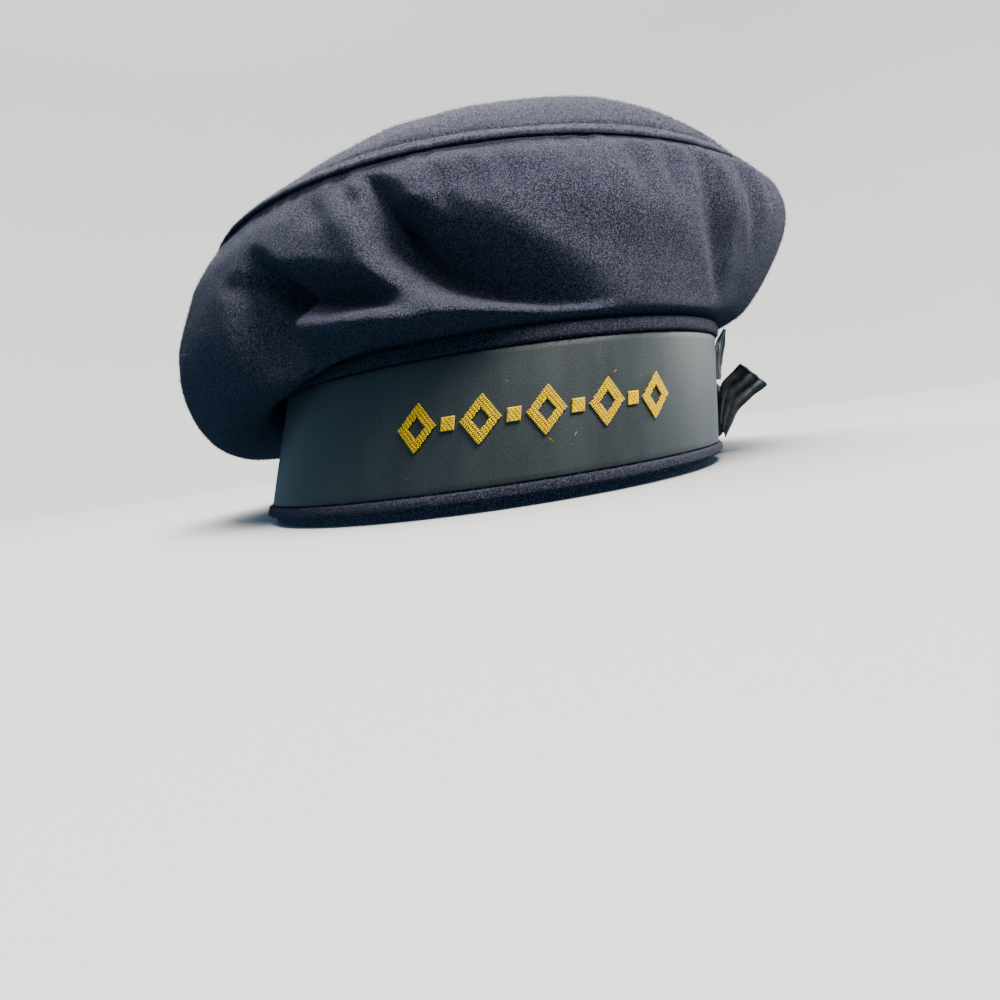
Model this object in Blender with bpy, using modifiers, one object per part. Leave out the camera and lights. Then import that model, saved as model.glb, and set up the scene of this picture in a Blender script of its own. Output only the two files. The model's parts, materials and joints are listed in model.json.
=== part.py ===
"""A sailor cap of navy wool melton, with a black silk ribbon tied in a bow at the wearer's left.

Real size, in metres: +Z up, the front toward -Y, the wearer's left toward +X. The cap rests on the flat lower edge of
its headband at z = 0, with the middle of its outline over the origin. An azimuth is 0 at the front and 90 at the
wearer's left. Tables hold millimetres and degrees, and each names its columns.
"""

import math

import bmesh
import bpy
import numpy as np

MM = 0.001
GAP = 0.0003

# The soft crown: a round top panel sewn to a side panel that puffs out over the band.
CROWN_X = 0.0105
CROWN_Y = 0.0058
SEAM_RADIUS = 0.1155
SEAM_SHIFT_TO_LEFT = -0.0015
SEAM_HEIGHT = 0.1000
SEAM_DROP_TO_BACK = 0.066
SEAM_DROP_TO_LEFT = 0.020
CLOTH_THICKNESS = 0.0022
LIP_RISE = 0.0016
LIP_REACH = 0.0030
DOME_RISE = 0.0343
DOME_RISE_TO_LEFT = 0.009
DOME_FLATNESS = 4.0
EDGE_WELT_WIDTH = 0.0030
EDGE_WELT_RISE = 0.0014
EDGE_WELT_TILT = 42.0
EDGE_WELT_ROUNDNESS = 0.75

# The band: an oval for a head of about 59 cm. Its walls lean toward the wearer's left and close in a little upward.
BAND_X = CROWN_X - 0.0145
BAND_Y = CROWN_Y - 0.032
BAND_HALF_WIDTH = 0.0905
BAND_HALF_DEPTH = 0.1050
BAND_TAPER_WIDTH = 0.110
BAND_TAPER_DEPTH = 0.033
BAND_LEAN_LEFT = 0.20
BAND_LEAN_BACK = 0.05
BAND_HEIGHT = 0.0472
BAND_WALL = 0.0028
RIBBON_WIDTH = 0.038
RIBBON_BOTTOM = 0.0069
RIBBON_THICKNESS = 0.0008
RIM_INSET = 0.0024
LOWER_WELT_HEIGHT = 0.0034
UPPER_WELT_HEIGHT = 0.0044
WELT_STANDS_PROUD = 0.0012
WELT_CORNER = 0.28
RIM_EDGE = 0.0008
RIM_EDGE_HEIGHT = 0.0010
RIM_WALL = 0.0040
SIDE_BASE = RIBBON_BOTTOM + RIBBON_WIDTH + UPPER_WELT_HEIGHT + 2.0 * GAP

# The generic figures woven into the ribbon's front: open lozenges with a small square between each two.
LOZENGES = 5
FIGURE_MIDDLE = 0.0135
FIGURE_PITCH = 0.0094
FIGURE_MID_HEIGHT = 0.0260
LOZENGE_WIDTH = 0.0120
LOZENGE_HEIGHT = 0.0145
LOZENGE_OPENING = 0.42
SQUARE_SIDE = 0.0040
FIGURE_THICKNESS = 0.0004
FIGURE_REACH = 60.0

# The bow at the wearer's left. Its places are given by how far they stand out from the ribbon's face, how far they lie
# along it from the knot toward the back, and their height from the rim.
BOW_AZIMUTH = 84.0
BOW_ARC_RADIUS = 0.124
BOW_CLOTH = 0.0009
KNOT_PLACE = (3.9, 8.2, 22.5)
KNOT_SIZE = (3.1, 4.4, 5.6)
KNOT_RIDGES = 5
KNOT_RIDGE_RISE = 0.08

# How finely the round pieces are divided. The crown's divisions lie closer together at the front, where its folds are.
CROWN_DIVISIONS = 80
CROWN_CROWDING = 0.35
SIDE_ROWS = 15
TOP_RINGS = (1.0, 0.93, 0.83, 0.68, 0.46, 0.2)
BAND_DIVISIONS = 64

# The crown's side panel, in sections round the cap. Reach is measured from the crown's middle, height from the rim.
SIDE_COLUMNS = (
    "azimuth", "under_reach", "under_height", "hip_reach", "hip_height",
    "belly_reach", "belly_height", "shoulder_reach", "shoulder_height",
)
SIDE_SECTIONS = (
    (0, 138, 56, 137, 67, 134, 83, 127, 98),
    (45, 111, 55, 119, 67, 126, 83, 123, 96),
    (90, 97, 54, 109, 65, 119, 82, 119, 94),
    (135, 101, 46, 116, 51, 127, 69, 124, 87),
    (180, 100, 39, 117, 42, 131, 61, 127, 83),
    (225, 100, 33, 122, 31, 137, 53, 131, 79),
    (270, 98, 32, 127, 26, 141, 49, 133, 83),
    (315, 120.5, 42.5, 132, 47, 138, 65, 130, 90),
)

# Creases pressed into the side panel, a row each. A crease runs from one place through another to a third, each given
# by its azimuth and its share of the way up from band to seam. Above and below say how far its slopes reach.
FOLD_COLUMNS = (
    "from_azimuth", "from_share", "via_azimuth", "via_share", "to_azimuth", "to_share", "size", "above", "below",
)
CREASES = (
    (-17, 0.66, -9, 0.27, 13, 0.00, 20.0, 22, 8),
    (-19, 0.90, -14.8, 0.62, -9, 0.27, 9.0, 8, 5),
    (-44, 0.66, -26, 0.36, -10, 0.08, 13.0, 9, 6),
    (-39, 0.74, -32, 0.40, -30.5, 0.06, 15.0, 8, 24),
    (-22, 0.86, -19, 0.68, -16.5, 0.54, 2.6, 6, 6),
    (-29, 0.88, -26.5, 0.77, -23.5, 0.64, 2.2, 7, 7),
    (-9, 0.84, -7.2, 0.66, -5.8, 0.50, 2.4, 7, 7),
    (-4, 0.84, -3.5, 0.68, -2, 0.54, 1.8, 7, 7),
    (1, 0.84, 1, 0.68, 2, 0.56, 1.8, 7, 7),
    (20, 0.90, 19, 0.72, 17.5, 0.50, 2.6, 8, 8),
    (25.5, 0.90, 24.5, 0.74, 23, 0.54, 2.4, 7, 7),
    (31, 0.94, 31.5, 0.50, 36, 0.04, 4.4, 10, 10),
    (40.5, 0.90, 41.5, 0.66, 43.5, 0.36, 3.0, 9, 9),
)

# Rolls of slack cloth that stand out from the side panel, in the same columns.
ROLLS = (
    (-31, 0.33, -15.5, 0.12, 9, 0.03, 8.0, 8, 9),
    (-24, 0.84, -16.5, 0.44, -8, 0.16, 2.5, 10, 10),
    (4, 0.66, 16, 0.48, 29, 0.34, 2.5, 20, 18),
)

# Lengths that turn a fold's degrees and shares into metres along the cloth, how round a crease is at its bottom, how
# steeply its slopes fall, how narrow and how blunt a fold's ends are, and the shares of the panel at band and seam over
# which all folds die away.
FOLD_DEGREE = 0.00235
FOLD_SHARE = 0.066
CREASE_ROUNDING = 0.15
CREASE_STEEPNESS = 1.5
FOLD_END_WIDTH = 0.35
FOLD_END_BLUNTNESS = 1.1
FOLD_FADE_AT_BAND = 0.07
FOLD_FADE_AT_SEAM = 0.06

# The bow's strips, a row for each section from the knot outward, in the columns out, along, height, half out, half
# along, half height and pleat: the section's middle, half its width as a vector, and the depth of its pleats. The loop
# goes out and comes back to the knot.
STRIPS = {
    "bow_tail_front": (
        (4.5, 0.5, 9.8, 1.3, 0.5, -3.3, 0.6),
        (5.9, 0.6, 16.4, 2.3, 0.6, -5.6, 0.9),
        (8.3, 0.8, 22.4, 3.6, 1.3, -5.7, 1.2),
        (13.6, 1.2, 26.7, 4.4, 2.8, -5.6, 1.3),
        (18.3, 1.5, 29.9, 6.5, 4.4, -4.9, 1.2),
    ),
    "bow_pleat_up": (
        (3.5, 1.3, 30.2, 1.9, 3.5, 0.0, 0.5),
        (4.1, 1.2, 35.5, 2.6, 7.2, 0.0, 0.8),
        (4.5, 0.6, 40.5, 2.8, 7.8, 0.0, 0.9),
        (5.2, 0.0, 45.0, 2.6, 5.6, 0.0, 0.8),
        (6.6, -0.6, 49.8, 0.9, 2.0, 0.0, 0.3),
    ),
    "bow_loop_back": (
        (5.0, 13.6, 25.0, 0.0, 0.0, 2.6, 0.6),
        (8.0, 24.0, 25.6, 0.0, 0.0, 9.5, 0.8),
        (8.4, 36.0, 25.2, 0.0, 0.0, 15.0, 0.5),
        (7.2, 43.0, 24.8, 0.0, 0.0, 16.6, 0.2),
        (4.9, 45.4, 24.6, 0.0, 0.0, 17.0, 0.0),
        (2.7, 43.0, 24.8, 0.0, 0.0, 16.6, 0.2),
        (1.7, 36.0, 25.2, 0.0, 0.0, 15.0, 0.3),
        (1.7, 24.0, 25.6, 0.0, 0.0, 9.5, 0.3),
        (2.2, 13.6, 25.0, 0.0, 0.0, 2.6, 0.4),
    ),
    "bow_tail_back": (
        (6.4, 13.1, 17.6, 0.6, 0.4, 2.2, 0.5),
        (9.4, 19.2, 17.4, 0.8, 1.2, 6.0, 1.0),
        (11.4, 28.2, 16.8, 0.6, 2.0, 9.6, 1.2),
        (12.0, 39.2, 16.2, 0.0, 2.8, 11.2, 1.3),
        (11.2, 50.2, 15.8, 0.0, 3.4, 12.0, 1.3),
    ),
}
STRIP_FOLDS = 3


def oval(height, inset=0.0):
    """The band's oval at a height: its middle's x and y, its half width and its half depth."""
    return (
        BAND_X + BAND_LEAN_LEFT * height,
        BAND_Y + BAND_LEAN_BACK * height,
        BAND_HALF_WIDTH - BAND_TAPER_WIDTH * height - inset,
        BAND_HALF_DEPTH - BAND_TAPER_DEPTH * height - inset,
    )


def oval_point(turn, height, inset=0.0):
    """A point of the band's face, at a turn in radians from the front, a height and a depth into the wall."""
    middle_x, middle_y, half_width, half_depth = oval(height, inset)
    return (middle_x + half_width * math.sin(turn), middle_y - half_depth * math.cos(turn), height)


def oval_reach(azimuth, height, inset=0.0):
    """How far the band's face lies from the crown's middle, along azimuths in radians."""
    middle_x, middle_y, half_width, half_depth = oval(height, inset)
    x, y = (middle_x - CROWN_X) / half_width, (middle_y - CROWN_Y) / half_depth
    along_x, along_y = np.sin(azimuth) / half_width, -np.cos(azimuth) / half_depth
    square = along_x ** 2 + along_y ** 2
    mixed = along_x * x + along_y * y
    return (mixed + np.sqrt(mixed ** 2 - square * (x * x + y * y - 1.0))) / square


def through(before, start, end, after, share):
    """A smooth curve through start and end that heads for its neighbours, at a share of the way."""
    return 0.5 * (
        2.0 * start
        + (end - before) * share
        + (2.0 * before - 5.0 * start + 4.0 * end - after) * share ** 2
        + (3.0 * start - before - 3.0 * end + after) * share ** 3
    )


def around(azimuth, column):
    """A column of the side sections, read smoothly round the cap, in metres."""
    values = [row[SIDE_COLUMNS.index(column)] * MM for row in SIDE_SECTIONS]
    count = len(values)
    place = np.degrees(azimuth) % 360.0 / 360.0 * count
    low = np.floor(place).astype(int)
    near = [np.take(values, (low + step) % count) for step in (-1, 0, 1, 2)]
    return through(*near, place - low)


def seam_reach(azimuth):
    """How far the seam lies from the crown's middle."""
    return SEAM_RADIUS + SEAM_SHIFT_TO_LEFT * np.sin(azimuth)


def seam_height(azimuth, reach):
    """The seam's plane, which falls a little to the back and to the wearer's left."""
    back = -reach * np.cos(azimuth)
    left = reach * np.sin(azimuth)
    return SEAM_HEIGHT - SEAM_DROP_TO_BACK * back - SEAM_DROP_TO_LEFT * left


def smooth(share):
    """Ease from 0 to 1."""
    share = np.clip(share, 0.0, 1.0)
    return share * share * (3.0 - 2.0 * share)


def side_base(azimuth):
    """Where the side panel is sewn to the band, just above the upper welt: reach and height."""
    return oval_reach(azimuth, SIDE_BASE, BAND_WALL / 2.0), np.full_like(azimuth, SIDE_BASE)


def side_profile(azimuth, shares):
    """The plain side panel: reach and height at shares of the cloth's length, from its lip over the welt to the seam."""
    stations = (
        side_base(azimuth),
        (oval_reach(azimuth, SIDE_BASE + LIP_RISE, -LIP_REACH), np.full_like(azimuth, SIDE_BASE + LIP_RISE)),
        (around(azimuth, "under_reach"), around(azimuth, "under_height")),
        (around(azimuth, "hip_reach"), around(azimuth, "hip_height")),
        (around(azimuth, "belly_reach"), around(azimuth, "belly_height")),
        (around(azimuth, "shoulder_reach"), around(azimuth, "shoulder_height")),
        (seam_reach(azimuth), seam_height(azimuth, seam_reach(azimuth)) - GAP),
    )
    steps = 24
    curve = []
    for part in (0, 1):
        values = [station[part] for station in stations]
        values.append(2.0 * values[-1] - values[-2])
        points = [
            through(*values[span:span + 4], step / steps)
            for span in range(len(stations) - 2)
            for step in range(steps)
        ]
        curve.append(np.array(points + [values[-2]]))
    reach, height = curve
    lengths = np.hypot(np.diff(reach, axis=0), np.diff(height, axis=0))
    travelled = np.vstack([np.zeros_like(azimuth), np.cumsum(lengths, axis=0)])
    travelled /= travelled[-1]
    columns = range(len(azimuth))
    return (
        np.array([np.interp(shares, travelled[:, k], reach[:, k]) for k in columns]),
        np.array([np.interp(shares, travelled[:, k], height[:, k]) for k in columns]),
    )


def from_fold(azimuth, share, fold):
    """The signed distance of places on the side panel from a fold's line, and how far along the line each lies."""
    start, via, end = (
        np.array((fold[f"{place}_azimuth"] * FOLD_DEGREE, fold[f"{place}_share"] * FOLD_SHARE))
        for place in ("from", "via", "to")
    )
    control = 2.0 * via - 0.5 * (start + end)
    places = np.stack([azimuth * FOLD_DEGREE, share * FOLD_SHARE], axis=-1)
    best = np.full(azimuth.shape, np.inf)
    signed = np.zeros(azimuth.shape)
    along = np.zeros(azimuth.shape)
    pieces = 24
    for piece in range(pieces):
        near, far = (
            (1.0 - t) ** 2 * start + 2.0 * t * (1.0 - t) * control + t * t * end
            for t in (piece / pieces, (piece + 1) / pieces)
        )
        step = far - near
        offset = places - near
        reached = np.clip(offset @ step / (step @ step), 0.0, 1.0)
        away = offset - reached[..., None] * step
        distance = np.hypot(away[..., 0], away[..., 1])
        side = np.sign(step[0] * offset[..., 1] - step[1] * offset[..., 0])
        nearer = distance < best
        best = np.where(nearer, distance, best)
        signed = np.where(nearer, distance * side, signed)
        along = np.where(nearer, (piece + reached) / pieces, along)
    return signed, along


def fold_height(azimuth, share):
    """How far the folds push the side panel out, at azimuths in degrees and shares of the way up."""
    total = np.zeros(azimuth.shape)
    for row in CREASES + ROLLS:
        fold = dict(zip(FOLD_COLUMNS, row))
        signed, along = from_fold(azimuth, share, fold)
        fullness = np.sin(np.pi * along)
        reach = np.where(signed > 0.0, fold["above"] * MM, fold["below"] * MM)
        away = signed / (reach * (FOLD_END_WIDTH + (1.0 - FOLD_END_WIDTH) * fullness))
        if row in CREASES:
            slope = np.clip(1.0 + CREASE_ROUNDING - np.hypot(away, CREASE_ROUNDING), 0.0, 1.0)
            section = -(slope ** CREASE_STEEPNESS)
        else:
            section = smooth(1.0 - np.abs(away))
        total += fold["size"] * MM * section * fullness ** FOLD_END_BLUNTNESS
    return total * smooth(share / FOLD_FADE_AT_BAND) * smooth((1.0 - share) / FOLD_FADE_AT_SEAM)


def crown_azimuths():
    """The azimuths of the crown's divisions."""
    even = np.linspace(0.0, 2.0 * math.pi, CROWN_DIVISIONS, endpoint=False)
    return even - CROWN_CROWDING * np.sin(even)


def polar(azimuth, reach, height):
    """Points from azimuth, reach from the crown's middle and height."""
    return np.stack([CROWN_X + reach * np.sin(azimuth), CROWN_Y - reach * np.cos(azimuth), height], axis=-1)


def side_points(azimuth, rows):
    """The side panel's outer face, folds and all, as rings of points from the band up to the seam."""
    shares = np.linspace(0.0, 1.0, rows)
    reach, height = side_profile(azimuth, shares)
    degrees = (np.degrees(azimuth) + 180.0) % 360.0 - 180.0
    reach += fold_height(*np.broadcast_arrays(degrees[:, None], shares[None, :]))
    rings = np.swapaxes(polar(azimuth[:, None], reach, height), 0, 1)
    return [polar(azimuth, *side_base(azimuth)), *rings]


def top_points(azimuth, shares):
    """The top panel's outer face, as rings of points from the seam in toward the middle."""
    rings = []
    for share in shares:
        reach = seam_reach(azimuth) * share
        rise = (DOME_RISE + DOME_RISE_TO_LEFT * share * np.sin(azimuth)) * (1.0 - share ** DOME_FLATNESS)
        rings.append(polar(azimuth, reach, seam_height(azimuth, reach) + rise + GAP))
    return rings


def cloth_material(name, colour, roughness, sheen):
    """A plain cloth finish."""
    material = bpy.data.materials.new(name)
    material.use_nodes = True
    shader = material.node_tree.nodes["Principled BSDF"]
    shader.inputs["Base Color"].default_value = (*colour, 1.0)
    shader.inputs["Roughness"].default_value = roughness
    shader.inputs["Metallic"].default_value = 0.0
    shader.inputs["Sheen Weight"].default_value = sheen
    material.diffuse_color = (*colour, 1.0)
    return material


def wool(name):
    """Navy melton."""
    return cloth_material(f"{name}_melton", (0.016, 0.019, 0.036), 0.92, 0.6)


def silk(name):
    """Black ribbon silk."""
    return cloth_material(f"{name}_silk", (0.020, 0.023, 0.025), 0.48, 0.1)


def gold(name):
    """Gold woven thread."""
    return cloth_material(f"{name}_gold_thread", (0.62, 0.42, 0.05), 0.55, 0.0)


def keep(name, mesh, material, collection):
    """Put a finished mesh in the collection as a named object with its own material."""
    mesh.name = name
    mesh.materials.append(material(name))
    mesh.shade_smooth()
    piece = bpy.data.objects.new(name, mesh)
    collection.objects.link(piece)
    return piece


def loft(rings, closed=True, looped=False, cap_first=False, cap_last=False):
    """A mesh over rings of points: closed joins each ring's ends, looped joins the last ring to the first."""
    shape = bmesh.new()
    rows = [[shape.verts.new(point) for point in ring] for ring in rings]
    pairs = list(zip(rows, rows[1:]))
    if looped:
        pairs.append((rows[-1], rows[0]))
    for low, high in pairs:
        count = len(low)
        for k in range(count if closed else count - 1):
            n = (k + 1) % count
            shape.faces.new((low[k], low[n], high[n], high[k]))
    if cap_first:
        shape.faces.new(rows[0][::-1])
    if cap_last:
        shape.faces.new(rows[-1])
    mesh = bpy.data.meshes.new("loft")
    shape.to_mesh(mesh)
    shape.free()
    return mesh


def thicken(piece, thickness, offset=-1.0):
    """Give an open sheet its wall, inward from its outer face."""
    wall = piece.modifiers.new("wall", "SOLIDIFY")
    wall.thickness = thickness
    wall.offset = offset
    wall.use_rim = True


def band_ring(section):
    """A solid ring round the band, from a closed section of (depth into the wall, height) points."""
    turns = [2.0 * math.pi * k / BAND_DIVISIONS for k in range(BAND_DIVISIONS)]
    rings = [[oval_point(turn, height, inset) for turn in turns] for inset, height in section]
    return loft(rings, looped=True)


def bead_section(bottom, height, back):
    """A rounded bead's section: its flat back at a depth into the wall, its round face proud of the ribbon."""
    front = -WELT_STANDS_PROUD
    middle = bottom + height / 2.0
    corner = height * WELT_CORNER
    depth = (front + back) / 2.0
    return (
        (back, bottom + corner / 2.0),
        (depth, bottom),
        (front, middle - corner),
        (front, middle + corner),
        (depth, bottom + height),
        (back, bottom + height - corner / 2.0),
    )


def make_crown(collection):
    """The side panel, the top panel and the topstitched welt between them."""
    side = keep("crown_side", loft(side_points(crown_azimuths(), SIDE_ROWS)), wool, collection)
    thicken(side, CLOTH_THICKNESS)
    rings = top_points(crown_azimuths(), TOP_RINGS)
    top = keep("crown_top", loft(rings, cap_last=True), wool, collection)
    thicken(top, CLOTH_THICKNESS)
    make_edge_welt(collection)


def make_edge_welt(collection):
    """The raised seam: a bead of folded cloth that lies over the meeting edges."""
    azimuth = crown_azimuths()
    tilt = math.radians(EDGE_WELT_TILT)
    outward = (math.cos(tilt), math.sin(tilt))
    upward = (-math.sin(tilt), math.cos(tilt))
    half = EDGE_WELT_WIDTH / 2.0
    lift = 2.0 * GAP
    section = (
        (half, lift),
        (-half, lift),
        (-half * EDGE_WELT_ROUNDNESS, lift + EDGE_WELT_RISE * EDGE_WELT_ROUNDNESS),
        (0.0, lift + EDGE_WELT_RISE),
        (half * EDGE_WELT_ROUNDNESS, lift + EDGE_WELT_RISE * EDGE_WELT_ROUNDNESS),
    )
    height = seam_height(azimuth, seam_reach(azimuth))
    rings = []
    for along, out in section:
        reach = seam_reach(azimuth) + out * outward[0] + along * upward[0]
        rings.append(polar(azimuth, reach, height + out * outward[1] + along * upward[1]))
    keep("crown_edge_welt", loft(rings, looped=True), wool, collection)


def make_band(collection):
    """The headband, the two welts and the ribbon, from the inside out."""
    face = RIBBON_THICKNESS + GAP
    crease = RIBBON_BOTTOM - LOWER_WELT_HEIGHT
    headband = (
        (RIM_INSET + RIM_EDGE, 0.0),
        (RIM_INSET, RIM_EDGE_HEIGHT),
        (RIM_INSET - RIM_EDGE, crease),
        (face, crease + GAP),
        (face, BAND_HEIGHT),
        (face + BAND_WALL, BAND_HEIGHT),
        (face + RIM_WALL, 0.0),
    )
    keep("headband", band_ring(headband), wool, collection)
    back = face - GAP
    lower = bead_section(RIBBON_BOTTOM - GAP - LOWER_WELT_HEIGHT, LOWER_WELT_HEIGHT, back)
    keep("lower_welt", band_ring(lower), wool, collection)
    ribbon_top = RIBBON_BOTTOM + RIBBON_WIDTH
    upper = bead_section(ribbon_top + GAP, UPPER_WELT_HEIGHT, back)
    keep("upper_welt", band_ring(upper), wool, collection)
    ribbon = (
        (0.0, RIBBON_BOTTOM),
        (0.0, ribbon_top),
        (RIBBON_THICKNESS, ribbon_top),
        (RIBBON_THICKNESS, RIBBON_BOTTOM),
    )
    keep("ribbon", band_ring(ribbon), silk, collection)


def turn_at(distance):
    """The turn round the band that lies a distance along the ribbon from the front, toward the wearer's left."""
    turns = np.radians(np.arange(-FIGURE_REACH, FIGURE_REACH + 1.0))
    points = np.array([oval_point(turn, FIGURE_MID_HEIGHT) for turn in turns])
    travelled = np.concatenate([[0.0], np.cumsum(np.linalg.norm(np.diff(points, axis=0), axis=1))])
    front = np.interp(0.0, turns, travelled)
    return float(np.interp(distance, travelled - front, turns))


def figure_rings(middle, corners, scales):
    """Rings round a figure that follow the ribbon, a ring for each (size, depth into the wall) of the scales."""
    rings = []
    for size, inset in scales:
        ring = []
        for sideways, upright in corners:
            turn = turn_at(middle + sideways * size)
            ring.append(oval_point(turn, FIGURE_MID_HEIGHT + upright * size, inset))
        rings.append(ring)
    return rings


def make_figures(collection):
    """The row of lozenges and squares, each a thin pad on the ribbon."""
    back, front = -GAP, -GAP - FIGURE_THICKNESS
    tips = [(0.0, -LOZENGE_HEIGHT / 2.0), (LOZENGE_WIDTH / 2.0, 0.0)]
    tips += [(-x, -y) for x, y in tips]
    lozenge = []
    for k, (x, y) in enumerate(tips):
        next_x, next_y = tips[(k + 1) % len(tips)]
        lozenge += [(x, y), ((x + next_x) / 2.0, (y + next_y) / 2.0)]
    ring_scales = ((1.0, front), (LOZENGE_OPENING, front), (LOZENGE_OPENING, back), (1.0, back))
    half = SQUARE_SIDE / 2.0
    square = [(-half, -half), (-half, half), (half, half), (half, -half)]
    figures = 2 * LOZENGES - 1
    for k in range(figures):
        middle = FIGURE_MIDDLE + (k - (figures - 1) / 2.0) * FIGURE_PITCH
        if k % 2 == 0:
            mesh = loft(figure_rings(middle, lozenge, ring_scales), looped=True)
            keep(f"ribbon_lozenge_{k // 2 + 1}", mesh, gold, collection)
        else:
            rings = figure_rings(middle, square, ((1.0, front), (1.0, back)))
            mesh = loft(rings, cap_first=True, cap_last=True)
            keep(f"ribbon_square_{k // 2 + 1}", mesh, gold, collection)


def bow_point(out, along, height):
    """A place of the bow, in millimetres out from the ribbon, along it toward the back, and up from the rim."""
    turn = math.radians(BOW_AZIMUTH) + along * MM / BOW_ARC_RADIUS
    return np.array(oval_point(turn, height * MM, -out * MM))


def strip_points(sections):
    """A pleated strip of ribbon over its sections, as rows of points across its width."""
    middles = np.array([bow_point(*row[:3]) for row in sections])
    onward = np.gradient(middles, axis=0)
    rows = []
    for row, middle, forward in zip(sections, middles, onward):
        *place, half_out, half_along, half_height, pleat = row
        edge = bow_point(*np.add(place, (half_out, half_along, half_height))) - middle
        face = np.cross(forward, edge)
        face /= np.linalg.norm(face)
        points = []
        for k in range(2 * STRIP_FOLDS + 1):
            share = k / STRIP_FOLDS - 1.0
            points.append(middle + edge * share + face * pleat * MM * (0.5 - k % 2))
        rows.append(points)
    return rows


def make_bow(collection):
    """The tied ribbon: a knot, an upright pleat, a loop to the back and two tails."""
    middle = bow_point(*KNOT_PLACE)
    shape = bmesh.new()
    bmesh.ops.create_uvsphere(shape, u_segments=8, v_segments=6, radius=1.0)
    for vertex in shape.verts:
        ridge = 1.0 + KNOT_RIDGE_RISE * math.cos(KNOT_RIDGES * math.atan2(vertex.co.y, vertex.co.x))
        place = [p + s * c * ridge for p, s, c in zip(KNOT_PLACE, KNOT_SIZE, vertex.co)]
        vertex.co = bow_point(*place)
    mesh = bpy.data.meshes.new("knot")
    shape.to_mesh(mesh)
    shape.free()
    keep("bow_knot", mesh, silk, collection)
    for name, sections in STRIPS.items():
        strip = keep(name, loft(strip_points(sections), closed=False), silk, collection)
        thicken(strip, BOW_CLOTH, offset=0.0)


def main():
    for leftover in list(bpy.data.objects):
        bpy.data.objects.remove(leftover, do_unlink=True)
    collection = bpy.data.collections.new("sailor_cap")
    bpy.context.scene.collection.children.link(collection)
    make_crown(collection)
    make_band(collection)
    make_figures(collection)
    make_bow(collection)


main()
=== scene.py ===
# %% [markdown]
# # Dressing a sailor cap
# A sailor cap is sewn from a few pieces of thick wool: a round top, a side panel that puffs out and sags, and an
# upright band. A silk ribbon goes round the band and is tied in a bow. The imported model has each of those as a
# plain closed solid, which physics can use. This lesson builds every one of them again, finely enough for a close
# look, from the same named sizes and in the same place, and gives each its cloth.
#
# Sizes are in metres, with the front toward -Y and the wearer's left toward +X. Tables hold millimetres and
# degrees.

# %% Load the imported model
import json
import math

import bmesh
import bpy
import numpy as np
from mathutils import Matrix, Vector, noise

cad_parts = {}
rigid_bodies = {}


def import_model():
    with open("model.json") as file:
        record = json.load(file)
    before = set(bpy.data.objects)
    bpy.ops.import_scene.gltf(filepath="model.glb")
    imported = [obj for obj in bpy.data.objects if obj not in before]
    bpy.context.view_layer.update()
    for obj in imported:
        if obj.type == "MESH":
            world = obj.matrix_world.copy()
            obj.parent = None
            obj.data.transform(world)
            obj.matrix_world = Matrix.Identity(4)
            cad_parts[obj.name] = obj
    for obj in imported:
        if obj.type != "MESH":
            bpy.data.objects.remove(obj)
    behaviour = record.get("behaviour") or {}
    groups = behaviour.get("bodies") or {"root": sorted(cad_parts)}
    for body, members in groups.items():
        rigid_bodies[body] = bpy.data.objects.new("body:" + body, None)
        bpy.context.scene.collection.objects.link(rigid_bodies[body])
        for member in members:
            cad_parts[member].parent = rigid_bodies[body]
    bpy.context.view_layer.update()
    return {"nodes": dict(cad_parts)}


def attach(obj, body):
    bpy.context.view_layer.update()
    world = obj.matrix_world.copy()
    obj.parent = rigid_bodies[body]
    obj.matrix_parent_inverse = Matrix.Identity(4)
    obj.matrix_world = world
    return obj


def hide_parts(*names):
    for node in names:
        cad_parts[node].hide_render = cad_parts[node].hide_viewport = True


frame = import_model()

print("plain solids:", len(frame["nodes"]))

# %% Helpers for what every step does
MERGE = 0.000001


def add_object(name, data):
    """A new object in the scene, from its data."""
    made = bpy.data.objects.new(name, data)
    bpy.context.scene.collection.objects.link(made)
    return made


def to_mesh(name, shape):
    """A mesh from a finished shape, which is let go."""
    mesh = bpy.data.meshes.new(name)
    shape.to_mesh(mesh)
    shape.free()
    return mesh


def extrude(shape, edges):
    """Extrude edges, and give the new edges and the new points."""
    made = bmesh.ops.extrude_edge_only(shape, edges=edges)["geom"]
    return [[part for part in made if isinstance(part, kind)] for kind in (bmesh.types.BMEdge, bmesh.types.BMVert)]


# %% [markdown]
# ## The camera
# The photograph was taken from very near and from low down, with the camera a little tilted to one side. A wide
# lens close to the cap gives the same strong perspective: the front of the crown looms and the far side shrinks.
# A longer lens from further away would be easier to place, but it flattens the cap.

# %% Place the camera
CAMERA_PLACE = (-0.0005, -0.3312, 0.0215)
CAMERA_PAN = 0.4
CAMERA_TILT = 84.7
CAMERA_ROLL = -8.2
CAMERA_LENS = 25.92

camera = add_object("camera", bpy.data.cameras.new("camera"))
camera.data.lens = CAMERA_LENS
camera.data.clip_start = 0.01
camera.matrix_world = (
    Matrix.Translation(CAMERA_PLACE)
    @ Matrix.Rotation(math.radians(CAMERA_PAN), 4, "Z")
    @ Matrix.Rotation(math.radians(CAMERA_TILT), 4, "X")
    @ Matrix.Rotation(math.radians(CAMERA_ROLL), 4, "Z")
)
bpy.context.scene.camera = camera
print("camera", round(1000 * CAMERA_PLACE[2], 1), "mm above the floor")

# %% [markdown]
# ## Materials from sums
# A cloth's colour and bumps come from patterns that are added, multiplied and cut off. Written node by node, such
# a sum is hard to read. One small class wraps a socket, so that a sum of patterns is typed as a sum, and one
# method of it adds any other node. The same class serves for geometry nodes further on.

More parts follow.
